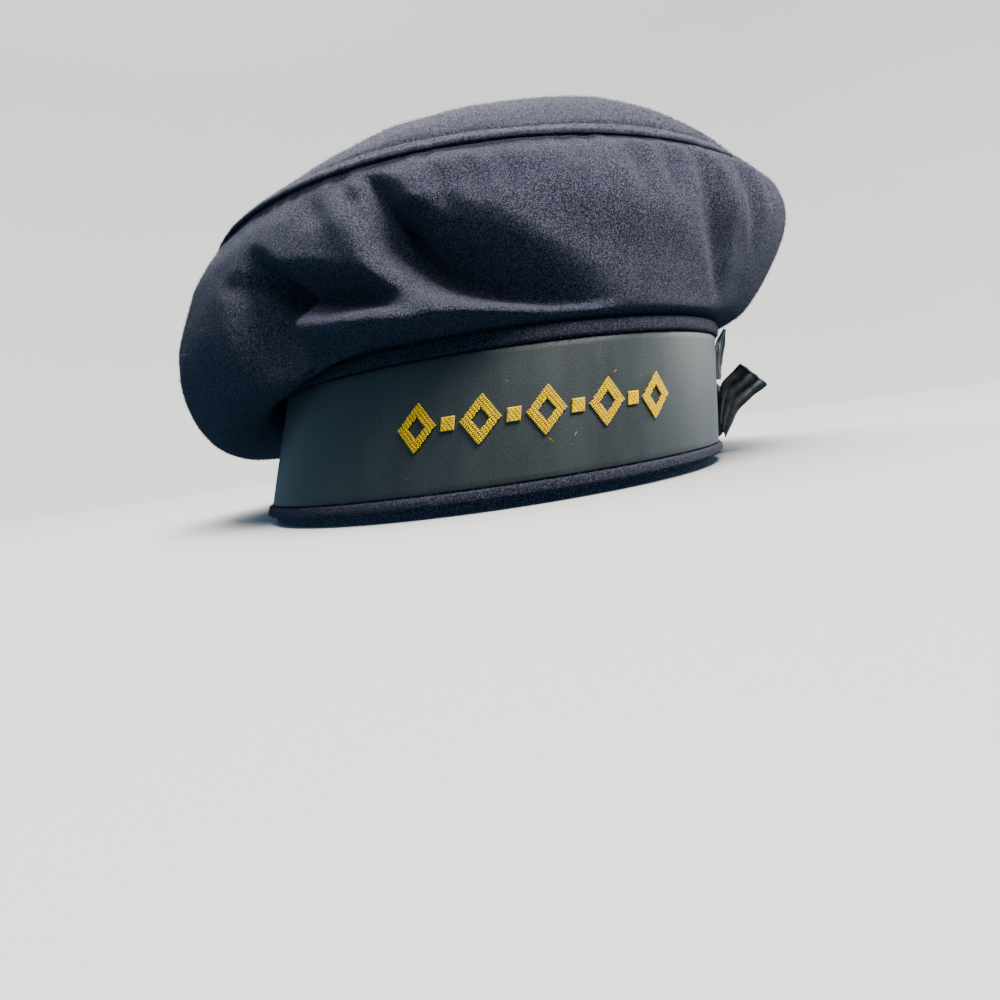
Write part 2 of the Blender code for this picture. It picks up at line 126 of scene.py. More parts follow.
# %% A socket that can be used in sums
class Strand:
    """A socket of a node tree. Sums of strands add their Math nodes."""

    def __init__(self, tree, socket=None):
        self.tree = tree
        self.socket = socket

    def node(self, kind, settings=None, inputs=None, output=0):
        """Add a node: first its settings, then what its sockets hold or are joined to."""
        made = self.tree.nodes.new(kind)
        for name, value in (settings or {}).items():
            if name == "stops":
                for _ in value[2:]:
                    made.color_ramp.elements.new(0.5)
                for stop, (place, colour) in zip(made.color_ramp.elements, value):
                    stop.position = place
                    stop.color = (*colour, 1.0)
            else:
                setattr(made, name, value)
        for name, value in (inputs or {}).items():
            if isinstance(value, Strand):
                self.tree.links.new(value.socket, made.inputs[name])
            else:
                made.inputs[name].default_value = value
        return Strand(self.tree, made.outputs[output] if made.outputs else None)

    def split(self):
        """The three parts of a vector."""
        parts = self.node("ShaderNodeSeparateXYZ", None, {"Vector": self})
        return [Strand(self.tree, output) for output in parts.socket.node.outputs]

    def clouds(self, scale, detail=2.0, distortion=0.0):
        """Noise over the places that this strand gives."""
        inputs = {"Vector": self, "Scale": scale, "Detail": detail, "Distortion": distortion}
        return self.node("ShaderNodeTexNoise", None, inputs)

    def sum(self, operation, first, second=0.0):
        """What a Math node makes of two values."""
        return self.node("ShaderNodeMath", {"operation": operation}, {0: first, 1: second})

    def __add__(self, other):
        return self.sum("ADD", self, other)

    def __radd__(self, other):
        return self.sum("ADD", other, self)

    def __sub__(self, other):
        return self.sum("SUBTRACT", self, other)

    def __rsub__(self, other):
        return self.sum("SUBTRACT", other, self)

    def __mul__(self, other):
        return self.sum("MULTIPLY", self, other)

    def __rmul__(self, other):
        return self.sum("MULTIPLY", other, self)

    def __pow__(self, other):
        return self.sum("POWER", self, other)

    def between(self, low, high):
        """0 below low, 1 above high, and smooth in between."""
        inputs = {"Value": self, "From Min": low, "From Max": high}
        return self.node("ShaderNodeMapRange", {"interpolation_type": "SMOOTHSTEP"}, inputs)

    def near(self, value, width):
        """1 where the strand is at a value, falling to 0 a width away."""
        return 1.0 - self.sum("ABSOLUTE", self - value).between(0.0, width)

    def blend(self, first, second):
        """A colour between two, by this strand."""
        settings = {"data_type": "RGBA", "clamp_factor": True}
        inputs = {0: self, 6: (*first, 1.0) if isinstance(first, tuple) else first}
        inputs[7] = (*second, 1.0) if isinstance(second, tuple) else second
        return self.node("ShaderNodeMix", settings, inputs, output=2)


def start_finish(name):
    """An empty material, and the strand that its nodes start from."""
    material = bpy.data.materials.new(name)
    material.use_nodes = True
    material.node_tree.nodes.clear()
    return material, Strand(material.node_tree)


def end_finish(material, base, roughness, bump, depth, fixed=None):
    """Finish a material from its colour, its roughness and its bump, and the shader's fixed values."""
    start = Strand(material.node_tree)
    inputs = {"Base Color": base, "Roughness": roughness}
    if bump is not None:
        inputs["Normal"] = start.node("ShaderNodeBump", None, {"Strength": 1.0, "Distance": depth, "Height": bump})
    inputs.update(fixed or {})
    shader = start.node("ShaderNodeBsdfPrincipled", None, inputs)
    start.node("ShaderNodeOutputMaterial", None, {"Surface": shader})
    return material


print("strands can be added, multiplied, cut off and blended")

# %% [markdown]
# ## The floor and the light
# The cap stands on a plain pale floor that curves up into a wall all round, so that no edge shows behind it. The
# light in the photograph is soft and comes from the front, above and to the right: it brightens the top, the
# right of the ribbon and the tops of the folds, and leaves the hollows on the left nearly black. One large soft
# lamp there, a wide one behind, a narrow one low at the wearer's left for the ribbon's shine and very little from
# the front give the same. Several equal lamps would fill the folds and lose them.
#
# A pale floor would fill them too, with the light that it throws back. So the cap and the floor each have lamps
# of their own, by light linking, and the floor is hidden from the cap's bounced rays. The floor's two hang high,
# so that it is evenly pale from every side. A dark floor would need none of this, but a dark cap is lost on it.

# %% Make the floor
FLOOR_RADIUS = 0.85
WALL_HEIGHT = 1.2
WALL_CURVE = 1.1
WALL_STEPS = 12
FLOOR_SIDES = 96
FLOOR_COLOUR = (0.80, 0.79, 0.77)
FLOOR_SHADE = 0.96

floor_shape = bmesh.new()
bmesh.ops.create_circle(floor_shape, segments=FLOOR_SIDES, radius=FLOOR_RADIUS, cap_ends=True)
rim = [edge for edge in floor_shape.edges if edge.is_boundary]
for step in range(1, WALL_STEPS + 1):
    rim, points = extrude(floor_shape, rim)
    bend = math.radians(90.0) * step / WALL_STEPS
    reach = FLOOR_RADIUS + WALL_CURVE * math.sin(bend)
    for vertex in points:
        flat = Vector((vertex.co.x, vertex.co.y, 0.0)).normalized() * reach
        vertex.co = (flat.x, flat.y, WALL_CURVE * (1.0 - math.cos(bend)))
rim, top = extrude(floor_shape, rim)
bmesh.ops.translate(floor_shape, verts=top, vec=(0.0, 0.0, WALL_HEIGHT))
floor_mesh = to_mesh("floor", floor_shape)
floor_mesh.shade_smooth()

floor_paint, paint = start_finish("floor_paint")
spot = paint.node("ShaderNodeTexCoord", output="Object")
cloud = spot.clouds(3.0, 3.0)
grit = spot.clouds(900.0)
shaded = tuple(FLOOR_SHADE * x for x in FLOOR_COLOUR)
floor_mesh.materials.append(
    end_finish(floor_paint, cloud.blend(shaded, FLOOR_COLOUR), 0.75 + 0.1 * grit, grit, 0.00003)
)
floor = add_object("floor", floor_mesh)
floor.visible_diffuse = False
floor.visible_glossy = False
print("floor", 2 * FLOOR_RADIUS, "m across, wall", WALL_CURVE + WALL_HEIGHT, "m high")

# %% Hang the lamps
LAMP_AIM = Vector((0.0, -0.02, 0.07))
LAMP_COLUMNS = ("name", "lights", "azimuth", "elevation", "distance", "width", "height", "watts", "colour")
LAMPS = (
    ("key_lamp", "cap", 56, 47, 1.00, 0.50, 0.40, 27.0, (1.0, 0.985, 0.97)),
    ("front_lamp", "cap", 5, 50, 1.00, 0.45, 0.45, 2.5, (1.0, 1.0, 1.0)),
    ("back_lamp", "cap", 188, 52, 1.00, 0.70, 0.50, 30.0, (0.94, 0.97, 1.0)),
    ("side_lamp", "cap", 112, 16, 0.90, 0.16, 0.45, 5.0, (1.0, 1.0, 0.98)),
    ("floor_lamp", "floor", 25, 72, 2.30, 1.30, 1.30, 125.0, (1.0, 0.95, 0.89)),
    ("floor_fill", "floor", 215, 68, 2.30, 1.60, 1.60, 50.0, (1.0, 0.91, 0.82)),
)
FLOOR_ONLY = {"floor": "INCLUDE", "cap": "EXCLUDE"}
for row in LAMPS:
    lamp = dict(zip(LAMP_COLUMNS, row))
    light = bpy.data.lights.new(lamp["name"], "AREA")
    light.shape = "RECTANGLE"
    light.size = lamp["width"]
    light.size_y = lamp["height"]
    light.energy = lamp["watts"]
    light.color = lamp["colour"]
    around_cap, above = math.radians(lamp["azimuth"]), math.radians(lamp["elevation"])
    way = Vector((math.sin(around_cap) * math.cos(above), -math.cos(around_cap) * math.cos(above), math.sin(above)))
    hung = add_object(lamp["name"], light)
    hung.location = LAMP_AIM + way * lamp["distance"]
    hung.rotation_euler = way.to_track_quat("Z", "Y").to_euler()
    lit = bpy.data.collections.new(f"lit_by_{lamp['name']}")
    lit.objects.link(floor)
    lit.collection_objects[0].light_linking.link_state = FLOOR_ONLY[lamp["lights"]]
    hung.light_linking.receiver_collection = lit

ROOM_COLOUR = (0.33, 0.67, 1.0)
ROOM_STRENGTH = 0.36
room = bpy.data.worlds.new("room")
room.use_nodes = True
room.node_tree.nodes["Background"].inputs["Color"].default_value = (*ROOM_COLOUR, 1.0)
room.node_tree.nodes["Background"].inputs["Strength"].default_value = ROOM_STRENGTH
bpy.context.scene.world = room
print("lamps:", [row[0] for row in LAMPS])

# %% [markdown]
# ## A tube to start from
# Nearly every piece of a cap is a tube: the side panel, the band, the rolled welts. So one helper draws a plain
# tube, by extruding a circle ring after ring, and another moves each of its points to the place on the cap that
# its column and row stand for. The operators keep the faces right, and the cap's own shape stays in a few
# functions of direction and height. A modelled cage with subdivision would also do, but it can't follow the
# photograph's folds so closely.

# %% Draw a tube and lay it on the cap
MM = 0.001
GAP = 0.0003


def plain_tube(columns, rows):
    """An upright tube of radius 1, with a row of points at each height from 0 to rows."""
    shape = bmesh.new()
    bmesh.ops.create_circle(shape, segments=columns, radius=1.0)
    edges = shape.edges[:]
    for _ in range(rows):
        edges, raised = extrude(shape, edges)
        bmesh.ops.translate(shape, verts=raised, vec=(0.0, 0.0, 1.0))
    bmesh.ops.recalc_face_normals(shape, faces=shape.faces)
    return shape


def lay_tube(shape, places):
    """Move each point of a plain tube to its place, given as an array by row and column."""
    columns = len(places[0])
    for vertex in shape.verts:
        turn = math.atan2(vertex.co.x, -vertex.co.y) / math.tau
        vertex.co = places[round(vertex.co.z)][round(turn * columns) % columns]


def closed_tube(places):
    """A ring-shaped body: a tube whose last row meets its first."""
    shape = plain_tube(len(places[0]), len(places))
    lay_tube(shape, [*places, places[0]])
    bmesh.ops.remove_doubles(shape, verts=shape.verts, dist=MERGE)
    bmesh.ops.recalc_face_normals(shape, faces=shape.faces)
    return shape


def make_piece(name, shape, finish, slot, *nodes):
    """Turn a finished shape into a named piece that stands for its plain solids."""
    mesh = to_mesh(name, shape)
    mesh.shade_smooth()
    mesh.materials.append(finish)
    piece = add_object(name, mesh)
    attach(piece, "root")
    if nodes:
        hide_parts(*nodes)
    print(name, len(mesh.polygons), "faces")
    return piece


def give_wall(piece, thickness, offset=-1.0):
    """Give an open sheet the thickness of its cloth."""
    wall = piece.modifiers.new("wall", "SOLIDIFY")
    wall.thickness = thickness
    wall.offset = offset


# %% [markdown]
# ## The shape of the crown
# The crown's seam is a flat circle, tipped a little to the back. Below it the side panel bulges out, more at the
# back and at the wearer's right, where the cap slumps. A table gives eight sections of it, and a smooth curve
# joins them round the cap. Between the stations of a section, from the band to the seam, another smooth curve
# follows the cloth, and places on it are counted by share of its length, so that folds can be drawn on it as on a
# flat strip.

# %% The crown's sizes
CROWN_X = 0.0105
CROWN_Y = 0.0058
SEAM_RADIUS = 0.1155
SEAM_SHIFT_TO_LEFT = -0.0015
SEAM_HEIGHT = 0.1000
SEAM_DROP_TO_BACK = 0.066
SEAM_DROP_TO_LEFT = 0.020
CLOTH_THICKNESS = 0.0022
LIP_RISE = 0.0016
LIP_REACH = 0.0030
DOME_RISE = 0.0343
DOME_RISE_TO_LEFT = 0.009
DOME_FLATNESS = 4.0

SIDE_COLUMNS = (
    "azimuth", "under_reach", "under_height", "hip_reach", "hip_height",
    "belly_reach", "belly_height", "shoulder_reach", "shoulder_height",
)
SIDE_SECTIONS = (
    (0, 138, 56, 137, 67, 134, 83, 127, 98),
    (45, 111, 55, 119, 67, 126, 83, 123, 96),
    (90, 97, 54, 109, 65, 119, 82, 119, 94),
    (135, 101, 46, 116, 51, 127, 69, 124, 87),
    (180, 100, 39, 117, 42, 131, 61, 127, 83),
    (225, 100, 33, 122, 31, 137, 53, 131, 79),
    (270, 98, 32, 127, 26, 141, 49, 133, 83),
    (315, 120.5, 42.5, 132, 47, 138, 65, 130, 90),
)

# %% The band's sizes
BAND_X = CROWN_X - 0.0145
BAND_Y = CROWN_Y - 0.032
BAND_HALF_WIDTH = 0.0905
BAND_HALF_DEPTH = 0.1050
BAND_TAPER_WIDTH = 0.110
BAND_TAPER_DEPTH = 0.033
BAND_LEAN_LEFT = 0.20
BAND_LEAN_BACK = 0.05
BAND_HEIGHT = 0.0472
BAND_WALL = 0.0028
RIBBON_WIDTH = 0.038
RIBBON_BOTTOM = 0.0069
RIBBON_THICKNESS = 0.0008
UPPER_WELT_HEIGHT = 0.0044
SIDE_BASE = RIBBON_BOTTOM + RIBBON_WIDTH + UPPER_WELT_HEIGHT + 2.0 * GAP


def oval(height, inset=0.0):
    """The band's oval at a height: its middle's x and y, its half width and its half depth."""
    return (
        BAND_X + BAND_LEAN_LEFT * height,
        BAND_Y + BAND_LEAN_BACK * height,
        BAND_HALF_WIDTH - BAND_TAPER_WIDTH * height - inset,
        BAND_HALF_DEPTH - BAND_TAPER_DEPTH * height - inset,
    )


def oval_point(turn, height, inset=0.0):
    """Points of the band's face, at turns in radians from the front, heights and depths into the wall."""
    middle_x, middle_y, half_width, half_depth = oval(height, inset)
    x = middle_x + half_width * np.sin(turn)
    return np.stack(np.broadcast_arrays(x, middle_y - half_depth * np.cos(turn), height), axis=-1)


def oval_reach(azimuth, height, inset=0.0):
    """How far the band's face lies from the crown's middle, along azimuths in radians."""
    middle_x, middle_y, half_width, half_depth = oval(height, inset)
    x, y = (middle_x - CROWN_X) / half_width, (middle_y - CROWN_Y) / half_depth
    along_x, along_y = np.sin(azimuth) / half_width, -np.cos(azimuth) / half_depth
    square = along_x ** 2 + along_y ** 2
    mixed = along_x * x + along_y * y
    return (mixed + np.sqrt(mixed ** 2 - square * (x * x + y * y - 1.0))) / square


print("band", round(2000 * BAND_HALF_WIDTH), "by", round(2000 * BAND_HALF_DEPTH), "mm at its foot")

# %% The side panel without its folds
PROFILE_STEPS = 32


def through(before, start, end, after, share):
    """A smooth curve through start and end that heads for its neighbours, at a share of the way."""
    return 0.5 * (
        2.0 * start
        + (end - before) * share
        + (2.0 * before - 5.0 * start + 4.0 * end - after) * share ** 2
        + (3.0 * start - before - 3.0 * end + after) * share ** 3
    )


def around(azimuth, column):
    """A column of the side sections, read smoothly round the cap, in metres."""
    values = [row[SIDE_COLUMNS.index(column)] * MM for row in SIDE_SECTIONS]
    count = len(values)
    place = np.degrees(azimuth) % 360.0 / 360.0 * count
    low = np.floor(place).astype(int)
    near = [np.take(values, (low + step) % count) for step in (-1, 0, 1, 2)]
    return through(*near, place - low)


def seam_reach(azimuth):
    """How far the seam lies from the crown's middle."""
    return SEAM_RADIUS + SEAM_SHIFT_TO_LEFT * np.sin(azimuth)


def seam_height(azimuth, reach):
    """The seam's plane, which falls a little to the back and to the wearer's left."""
    back = -reach * np.cos(azimuth)
    left = reach * np.sin(azimuth)
    return SEAM_HEIGHT - SEAM_DROP_TO_BACK * back - SEAM_DROP_TO_LEFT * left


def side_profile(azimuth, shares):
    """The plain side panel: reach and height by row and column, from its lip over the welt to the seam."""
    lip = SIDE_BASE + LIP_RISE
    stations = [
        (oval_reach(azimuth, SIDE_BASE, BAND_WALL / 2.0), np.full_like(azimuth, SIDE_BASE)),
        (oval_reach(azimuth, lip, -LIP_REACH), np.full_like(azimuth, lip)),
    ]
    for name in ("under", "hip", "belly", "shoulder"):
        stations.append((around(azimuth, f"{name}_reach"), around(azimuth, f"{name}_height")))
    stations.append((seam_reach(azimuth), seam_height(azimuth, seam_reach(azimuth)) - GAP))
    steps = np.arange(PROFILE_STEPS) / PROFILE_STEPS
    curve = []
    for part in (0, 1):
        values = [station[part] for station in stations]
        values.append(2.0 * values[-1] - values[-2])
        points = [through(*values[span:span + 4], step) for span in range(len(stations) - 2) for step in steps]
        curve.append(np.array(points + [values[-2]]))
    reach, height = curve
    lengths = np.hypot(np.diff(reach, axis=0), np.diff(height, axis=0))
    travelled = np.vstack([np.zeros_like(azimuth), np.cumsum(lengths, axis=0)])
    share = travelled / travelled[-1]
    columns = range(len(azimuth))
    return (
        np.array([np.interp(shares, share[:, k], reach[:, k]) for k in columns]).T,
        np.array([np.interp(shares, share[:, k], height[:, k]) for k in columns]).T,
    )


turns = np.radians([0.0, 90.0, 180.0, 270.0])
belly = side_profile(turns, np.array([0.5]))[0][0]
print("belly reach at front, left, back and right, in millimetres:", np.round(1000 * belly, 1))

# %% [markdown]
# ## Its folds
# Where the crown sags over the band, thick wool doesn't drape in soft waves: it buckles. Each fold is a valley
# with one steep side and one long, gentle one. A row of the table gives a fold by three places on the panel that
# its line runs through, its depth, and how far its slopes reach above and below the line. The deep ones lie at
# the front on the wearer's right. Short, shallow ones stand under the seam, where the panel is a little too full
# for the circle.

# %% The folds and rolls
FOLD_COLUMNS = (
    "from_azimuth", "from_share", "via_azimuth", "via_share", "to_azimuth", "to_share", "size", "above", "below",
)
CREASES = (
    (-17, 0.66, -9, 0.27, 13, 0.00, 20.0, 22, 8),
    (-19, 0.90, -14.8, 0.62, -9, 0.27, 9.0, 8, 5),
    (-44, 0.66, -26, 0.36, -10, 0.08, 13.0, 9, 6),
    (-39, 0.74, -32, 0.40, -30.5, 0.06, 15.0, 8, 24),
    (-22, 0.86, -19, 0.68, -16.5, 0.54, 2.6, 6, 6),
    (-29, 0.88, -26.5, 0.77, -23.5, 0.64, 2.2, 7, 7),
    (-9, 0.84, -7.2, 0.66, -5.8, 0.50, 2.4, 7, 7),
    (-4, 0.84, -3.5, 0.68, -2, 0.54, 1.8, 7, 7),
    (1, 0.84, 1, 0.68, 2, 0.56, 1.8, 7, 7),
    (20, 0.90, 19, 0.72, 17.5, 0.50, 2.6, 8, 8),
    (25.5, 0.90, 24.5, 0.74, 23, 0.54, 2.4, 7, 7),
    (31, 0.94, 31.5, 0.50, 36, 0.04, 4.4, 10, 10),
    (40.5, 0.90, 41.5, 0.66, 43.5, 0.36, 3.0, 9, 9),
)
ROLLS = (
    (-31, 0.33, -15.5, 0.12, 9, 0.03, 8.0, 8, 9),
    (-24, 0.84, -16.5, 0.44, -8, 0.16, 2.5, 10, 10),
    (4, 0.66, 16, 0.48, 29, 0.34, 2.5, 20, 18),
)
FOLD_DEGREE = 0.00235
FOLD_SHARE = 0.066
FOLD_LINE_PIECES = 40
CREASE_ROUNDING = 0.15
CREASE_STEEPNESS = 1.5
FOLD_END_WIDTH = 0.35
FOLD_END_BLUNTNESS = 1.1
FOLD_FADE_AT_BAND = 0.07
FOLD_FADE_AT_SEAM = 0.06


def smooth(share):
    """Ease from 0 to 1."""
    share = np.clip(share, 0.0, 1.0)
    return share * share * (3.0 - 2.0 * share)


def from_fold(azimuth, share, fold):
    """The signed distance of places on the side panel from a fold's line, and how far along the line each lies."""
    start, via, end = (
        np.array((fold[f"{place}_azimuth"] * FOLD_DEGREE, fold[f"{place}_share"] * FOLD_SHARE))
        for place in ("from", "via", "to")
    )
    control = 2.0 * via - 0.5 * (start + end)
    places = np.stack([azimuth * FOLD_DEGREE, share * FOLD_SHARE], axis=-1)
    best = np.full(azimuth.shape, np.inf)
    signed = np.zeros(azimuth.shape)
    along = np.zeros(azimuth.shape)
    for piece in range(FOLD_LINE_PIECES):
        near, far = (
            (1.0 - t) ** 2 * start + 2.0 * t * (1.0 - t) * control + t * t * end
            for t in (piece / FOLD_LINE_PIECES, (piece + 1) / FOLD_LINE_PIECES)
        )
        step = far - near
        offset = places - near
        reached = np.clip(offset @ step / (step @ step), 0.0, 1.0)
        away = offset - reached[..., None] * step
        distance = np.hypot(away[..., 0], away[..., 1])
        side = np.sign(step[0] * offset[..., 1] - step[1] * offset[..., 0])
        nearer = distance < best
        best = np.where(nearer, distance, best)
        signed = np.where(nearer, distance * side, signed)
        along = np.where(nearer, (piece + reached) / FOLD_LINE_PIECES, along)
    return signed, along


def fold_height(azimuth, share):
    """How far the folds push the side panel out, at azimuths in degrees and shares of the way up."""
    total = np.zeros(azimuth.shape)
    for row in CREASES + ROLLS:
        fold = dict(zip(FOLD_COLUMNS, row))
        signed, along = from_fold(azimuth, share, fold)
        fullness = np.sin(np.pi * along)
        reach = np.where(signed > 0.0, fold["above"] * MM, fold["below"] * MM)
        away = signed / (reach * (FOLD_END_WIDTH + (1.0 - FOLD_END_WIDTH) * fullness))
        if row in CREASES:
            slope = np.clip(1.0 + CREASE_ROUNDING - np.hypot(away, CREASE_ROUNDING), 0.0, 1.0)
            section = -(slope ** CREASE_STEEPNESS)
        else:
            section = smooth(1.0 - np.abs(away))
        total += fold["size"] * MM * section * fullness ** FOLD_END_BLUNTNESS
    return total * smooth(share / FOLD_FADE_AT_BAND) * smooth((1.0 - share) / FOLD_FADE_AT_SEAM)


print(len(CREASES), "creases and", len(ROLLS), "rolls")

# %% [markdown]
# ## Wool melton
# Melton is a thick woollen cloth that is milled until its weave disappears under a short felted nap. Close up it
# is a mat of curled hairs, some lighter than others, over nearly black hollows. Noise whose middle value is
# picked out as a thin line makes such hairs: contour lines of a smooth field are curved and never cross. Three
# sizes of them lie over each other, and the same lines raise the surface. Real hairs, added later, break up the
# outline. The two rolls beside the ribbon have the same finish with half the light in it: that darkening is
# painted shade, for the rolls lie in shade under the crown.

# %% The melton's finish
WOOL_DEEP = (0.0040, 0.0058, 0.0130)
WOOL_MIDDLE = (0.0130, 0.0138, 0.0250)
WOOL_HAIR = (0.1900, 0.1780, 0.2450)
WOOL_SHEEN = (0.60, 0.61, 0.80, 1.0)
SEAM_LINE_INSIDE = 0.0038
SEAM_LINE_OUTSIDE = 0.0024
SEAM_LINE_WIDTH = 0.0018
SEAM_LEVELS = (0.075, 0.085)
# Half the light in the rolls' wool: painted shade.
ROLL_LIGHT_WITH_PAINTED_SHADE = 0.5


def seam_pattern(wool, place):
    """1 in the two sewn lines beside the crown's raised seam and 0 elsewhere, then 1 on the ridge between them. The
    wool is darkened in the lines as painted shade and lightened on the ridge as a painted highlight.
    """
    x, y, height = place.split()
    left, back = x - CROWN_X, y - CROWN_Y
    reach = (left * left + back * back) ** 0.5
    inside = SEAM_RADIUS + SEAM_SHIFT_TO_LEFT * wool.sum("DIVIDE", left, reach) - reach
    lines = inside.near(SEAM_LINE_INSIDE, SEAM_LINE_WIDTH) + inside.near(-SEAM_LINE_OUTSIDE, SEAM_LINE_WIDTH)
    ridge = inside.near((SEAM_LINE_INSIDE - SEAM_LINE_OUTSIDE) / 2.0, (SEAM_LINE_INSIDE + SEAM_LINE_OUTSIDE) / 2.0)
    high = height.between(*SEAM_LEVELS)
    return lines * high, ridge * high


def melton(name, light=1.0):
    """Milled navy wool, and how much light there is in its hairs; below 1 this darkens the wool as painted shade."""
    material, wool = start_finish(name)
    place = wool.node("ShaderNodeTexCoord", output="Object")
    field = place.clouds
    patches = field(38.0, 4.0)
    tufts = field(2200.0, 2.0, 0.6)
    grain = field(3400.0, 1.0)
    hairs = field(1500.0, 1.0, 1.4).near(0.5, 0.10) + field(2200.0, 1.0, 1.1).near(0.48, 0.13)
    hairs = hairs + field(3100.0, 1.0, 0.8).near(0.52, 0.16)
    strong = hairs * field(2500.0, 1.0).between(0.40, 0.60)
    body = (tufts.between(0.30, 0.72) * light).blend(WOOL_DEEP, WOOL_MIDDLE)
    lit = strong * grain.between(0.30, 0.70) * (0.96 * light) + patches.between(0.3, 0.75) * (0.03 * light)
    seam_groove_and_painted_shade, ridge = seam_pattern(wool, place)
    # Painted highlight: the wool on the ridge between the sewn lines is lightened.
    lit = lit * (1.0 + ridge * 0.8) + ridge * 0.10
    # Painted shade: the wool in the two sewn lines is darkened toward WOOL_DEEP. Below, the same lines also sink as a
    # real groove in the bump.
    colour = (seam_groove_and_painted_shade * 0.92).blend(lit.blend(body, WOOL_HAIR), WOOL_DEEP)
    relief = tufts * 0.6 + hairs * 0.25 + grain * 0.3 - seam_groove_and_painted_shade * 1.6
    return end_finish(
        material, colour, 0.90 + 0.08 * grain, relief, 0.0004,
        {"Sheen Weight": 0.11, "Sheen Roughness": 0.40, "Sheen Tint": WOOL_SHEEN, "Specular IOR Level": 0.25},
    )


wool_finish = melton("navy_wool")
# The rolls' wool is darkened: painted shade.
roll_finish_with_painted_shade = melton("navy_wool_in_the_rolls", ROLL_LIGHT_WITH_PAINTED_SHADE)
print("melton has", len(wool_finish.node_tree.nodes), "nodes")

# %% [markdown]
# ## The side panel
# The panel is cut with more columns at the front, where its folds are. To the folds of the table it gets what
# every real panel has: a slight unevenness, and small puckers where its edge is eased into the seam and into the
# band. Cloth simulation could sag a crown too, but its folds fall where they like, and here they have to fall
# where the photograph has them, so they are placed one by one.

# %% Build the side panel
SIDE_DIVISIONS = 440
SIDE_ROWS = 92
CROWN_CROWDING = 0.35
SIDE_UNEVENNESS = ((0.030, 0.0011), (0.011, 0.0004), (0.0045, 0.00012))
PUCKERS_ROUND = 92.0
PUCKER_DEPTH = 0.0007
PUCKER_LENGTH = 0.12
BAND_PUCKER_DEPTH = 0.6 * PUCKER_DEPTH
BAND_PUCKERS_ROUND = 0.8 * PUCKERS_ROUND
SEWN_AT_BAND = 0.08
SEWN_AT_SEAM = 0.06
ROUGH_RISE = 0.4


def crown_azimuths(divisions):
    """The azimuths of the crown's columns, closer together at the front."""
    even = np.linspace(0.0, math.tau, divisions, endpoint=False)
    return even - CROWN_CROWDING * np.sin(even)


def polar(azimuth, reach, height):
    """Points from azimuth, reach from the crown's middle and height."""
    parts = (CROWN_X + reach * np.sin(azimuth), CROWN_Y - reach * np.cos(azimuth), height)
    return np.stack(np.broadcast_arrays(*parts), axis=-1)


def unevenness(places, layers, seed=0.0):
    """Soft bumps over places, for layers of (size of a bump, height of a bump)."""
    shift = Vector((seed, 2.0 * seed, -seed))
    return np.array([
        [sum(rise * noise.noise(Vector(place) / size + shift) for size, rise in layers) for place in row]
        for row in places
    ])


def noise_round(turns, bumps, seed):
    """Noise that closes on itself round the cap, for turns in radians, with so many bumps to a radian."""
    return np.array([noise.noise(Vector((bumps * math.sin(turn), bumps * math.cos(turn), seed))) for turn in turns])


def puckers(azimuth, share, count, seed):
    """Small ridges that run up from a sewn edge, uneven in height, for azimuths round the cap."""
    wander = noise_round(azimuth, 3.0, seed)
    strength = noise_round(azimuth, 9.0, seed + 5.0)
    return np.cos(count * azimuth + 7.0 * wander) * smooth(0.35 + strength) * np.exp(-share / PUCKER_LENGTH)[:, None]


def side_places(divisions, rows):
    """The side panel's outer face, by row and column."""
    azimuth = crown_azimuths(divisions)
    shares = np.linspace(0.0, 1.0, rows + 1)
    reach, height = side_profile(azimuth, shares)
    degrees = (np.degrees(azimuth) + 180.0) % 360.0 - 180.0
    reach = reach + fold_height(*np.broadcast_arrays(degrees[None, :], shares[:, None]))
    sewn = smooth(shares / SEWN_AT_BAND)[:, None] * smooth((1.0 - shares) / SEWN_AT_SEAM)[:, None]
    rough = unevenness(polar(azimuth[None, :], reach, height), SIDE_UNEVENNESS)
    rough += PUCKER_DEPTH * puckers(azimuth, 1.0 - shares, PUCKERS_ROUND, 1.0)
    rough += BAND_PUCKER_DEPTH * puckers(azimuth, shares, BAND_PUCKERS_ROUND, 2.0)
    sewn_edge = polar(azimuth, oval_reach(azimuth, SIDE_BASE, BAND_WALL / 2.0), SIDE_BASE)
    return [sewn_edge, *polar(azimuth[None, :], reach + rough * sewn, height + ROUGH_RISE * rough * sewn)]


side_rows = side_places(SIDE_DIVISIONS, SIDE_ROWS)
shape = plain_tube(SIDE_DIVISIONS, SIDE_ROWS + 1)
lay_tube(shape, side_rows)
crown_side = make_piece("side_panel", shape, wool_finish, "melton", "crown_side")
give_wall(crown_side, CLOTH_THICKNESS)

# %% [markdown]
# ## The top panel
# The top is a circle of the same wool. It is a tube too, whose rings shrink to the middle, where the last one is
# closed to a point. Stitched all round, it domes up between its edges. Its rings lie closer together near the
# seam, where a line of stitches presses a groove into it.

# %% Build the top panel
TOP_DIVISIONS = 336
TOP_ROWS = 46
TOP_UNEVENNESS = ((0.045, 0.0016), (0.014, 0.0004), (0.005, 0.00010))
TOP_CROWDING = 1.5
SEAM_RIDGE = 0.0009
SEAM_GROOVE = 0.0012
TOP_PUCKER_DEPTH = 0.5 * PUCKER_DEPTH
TOP_SEWN = 0.04


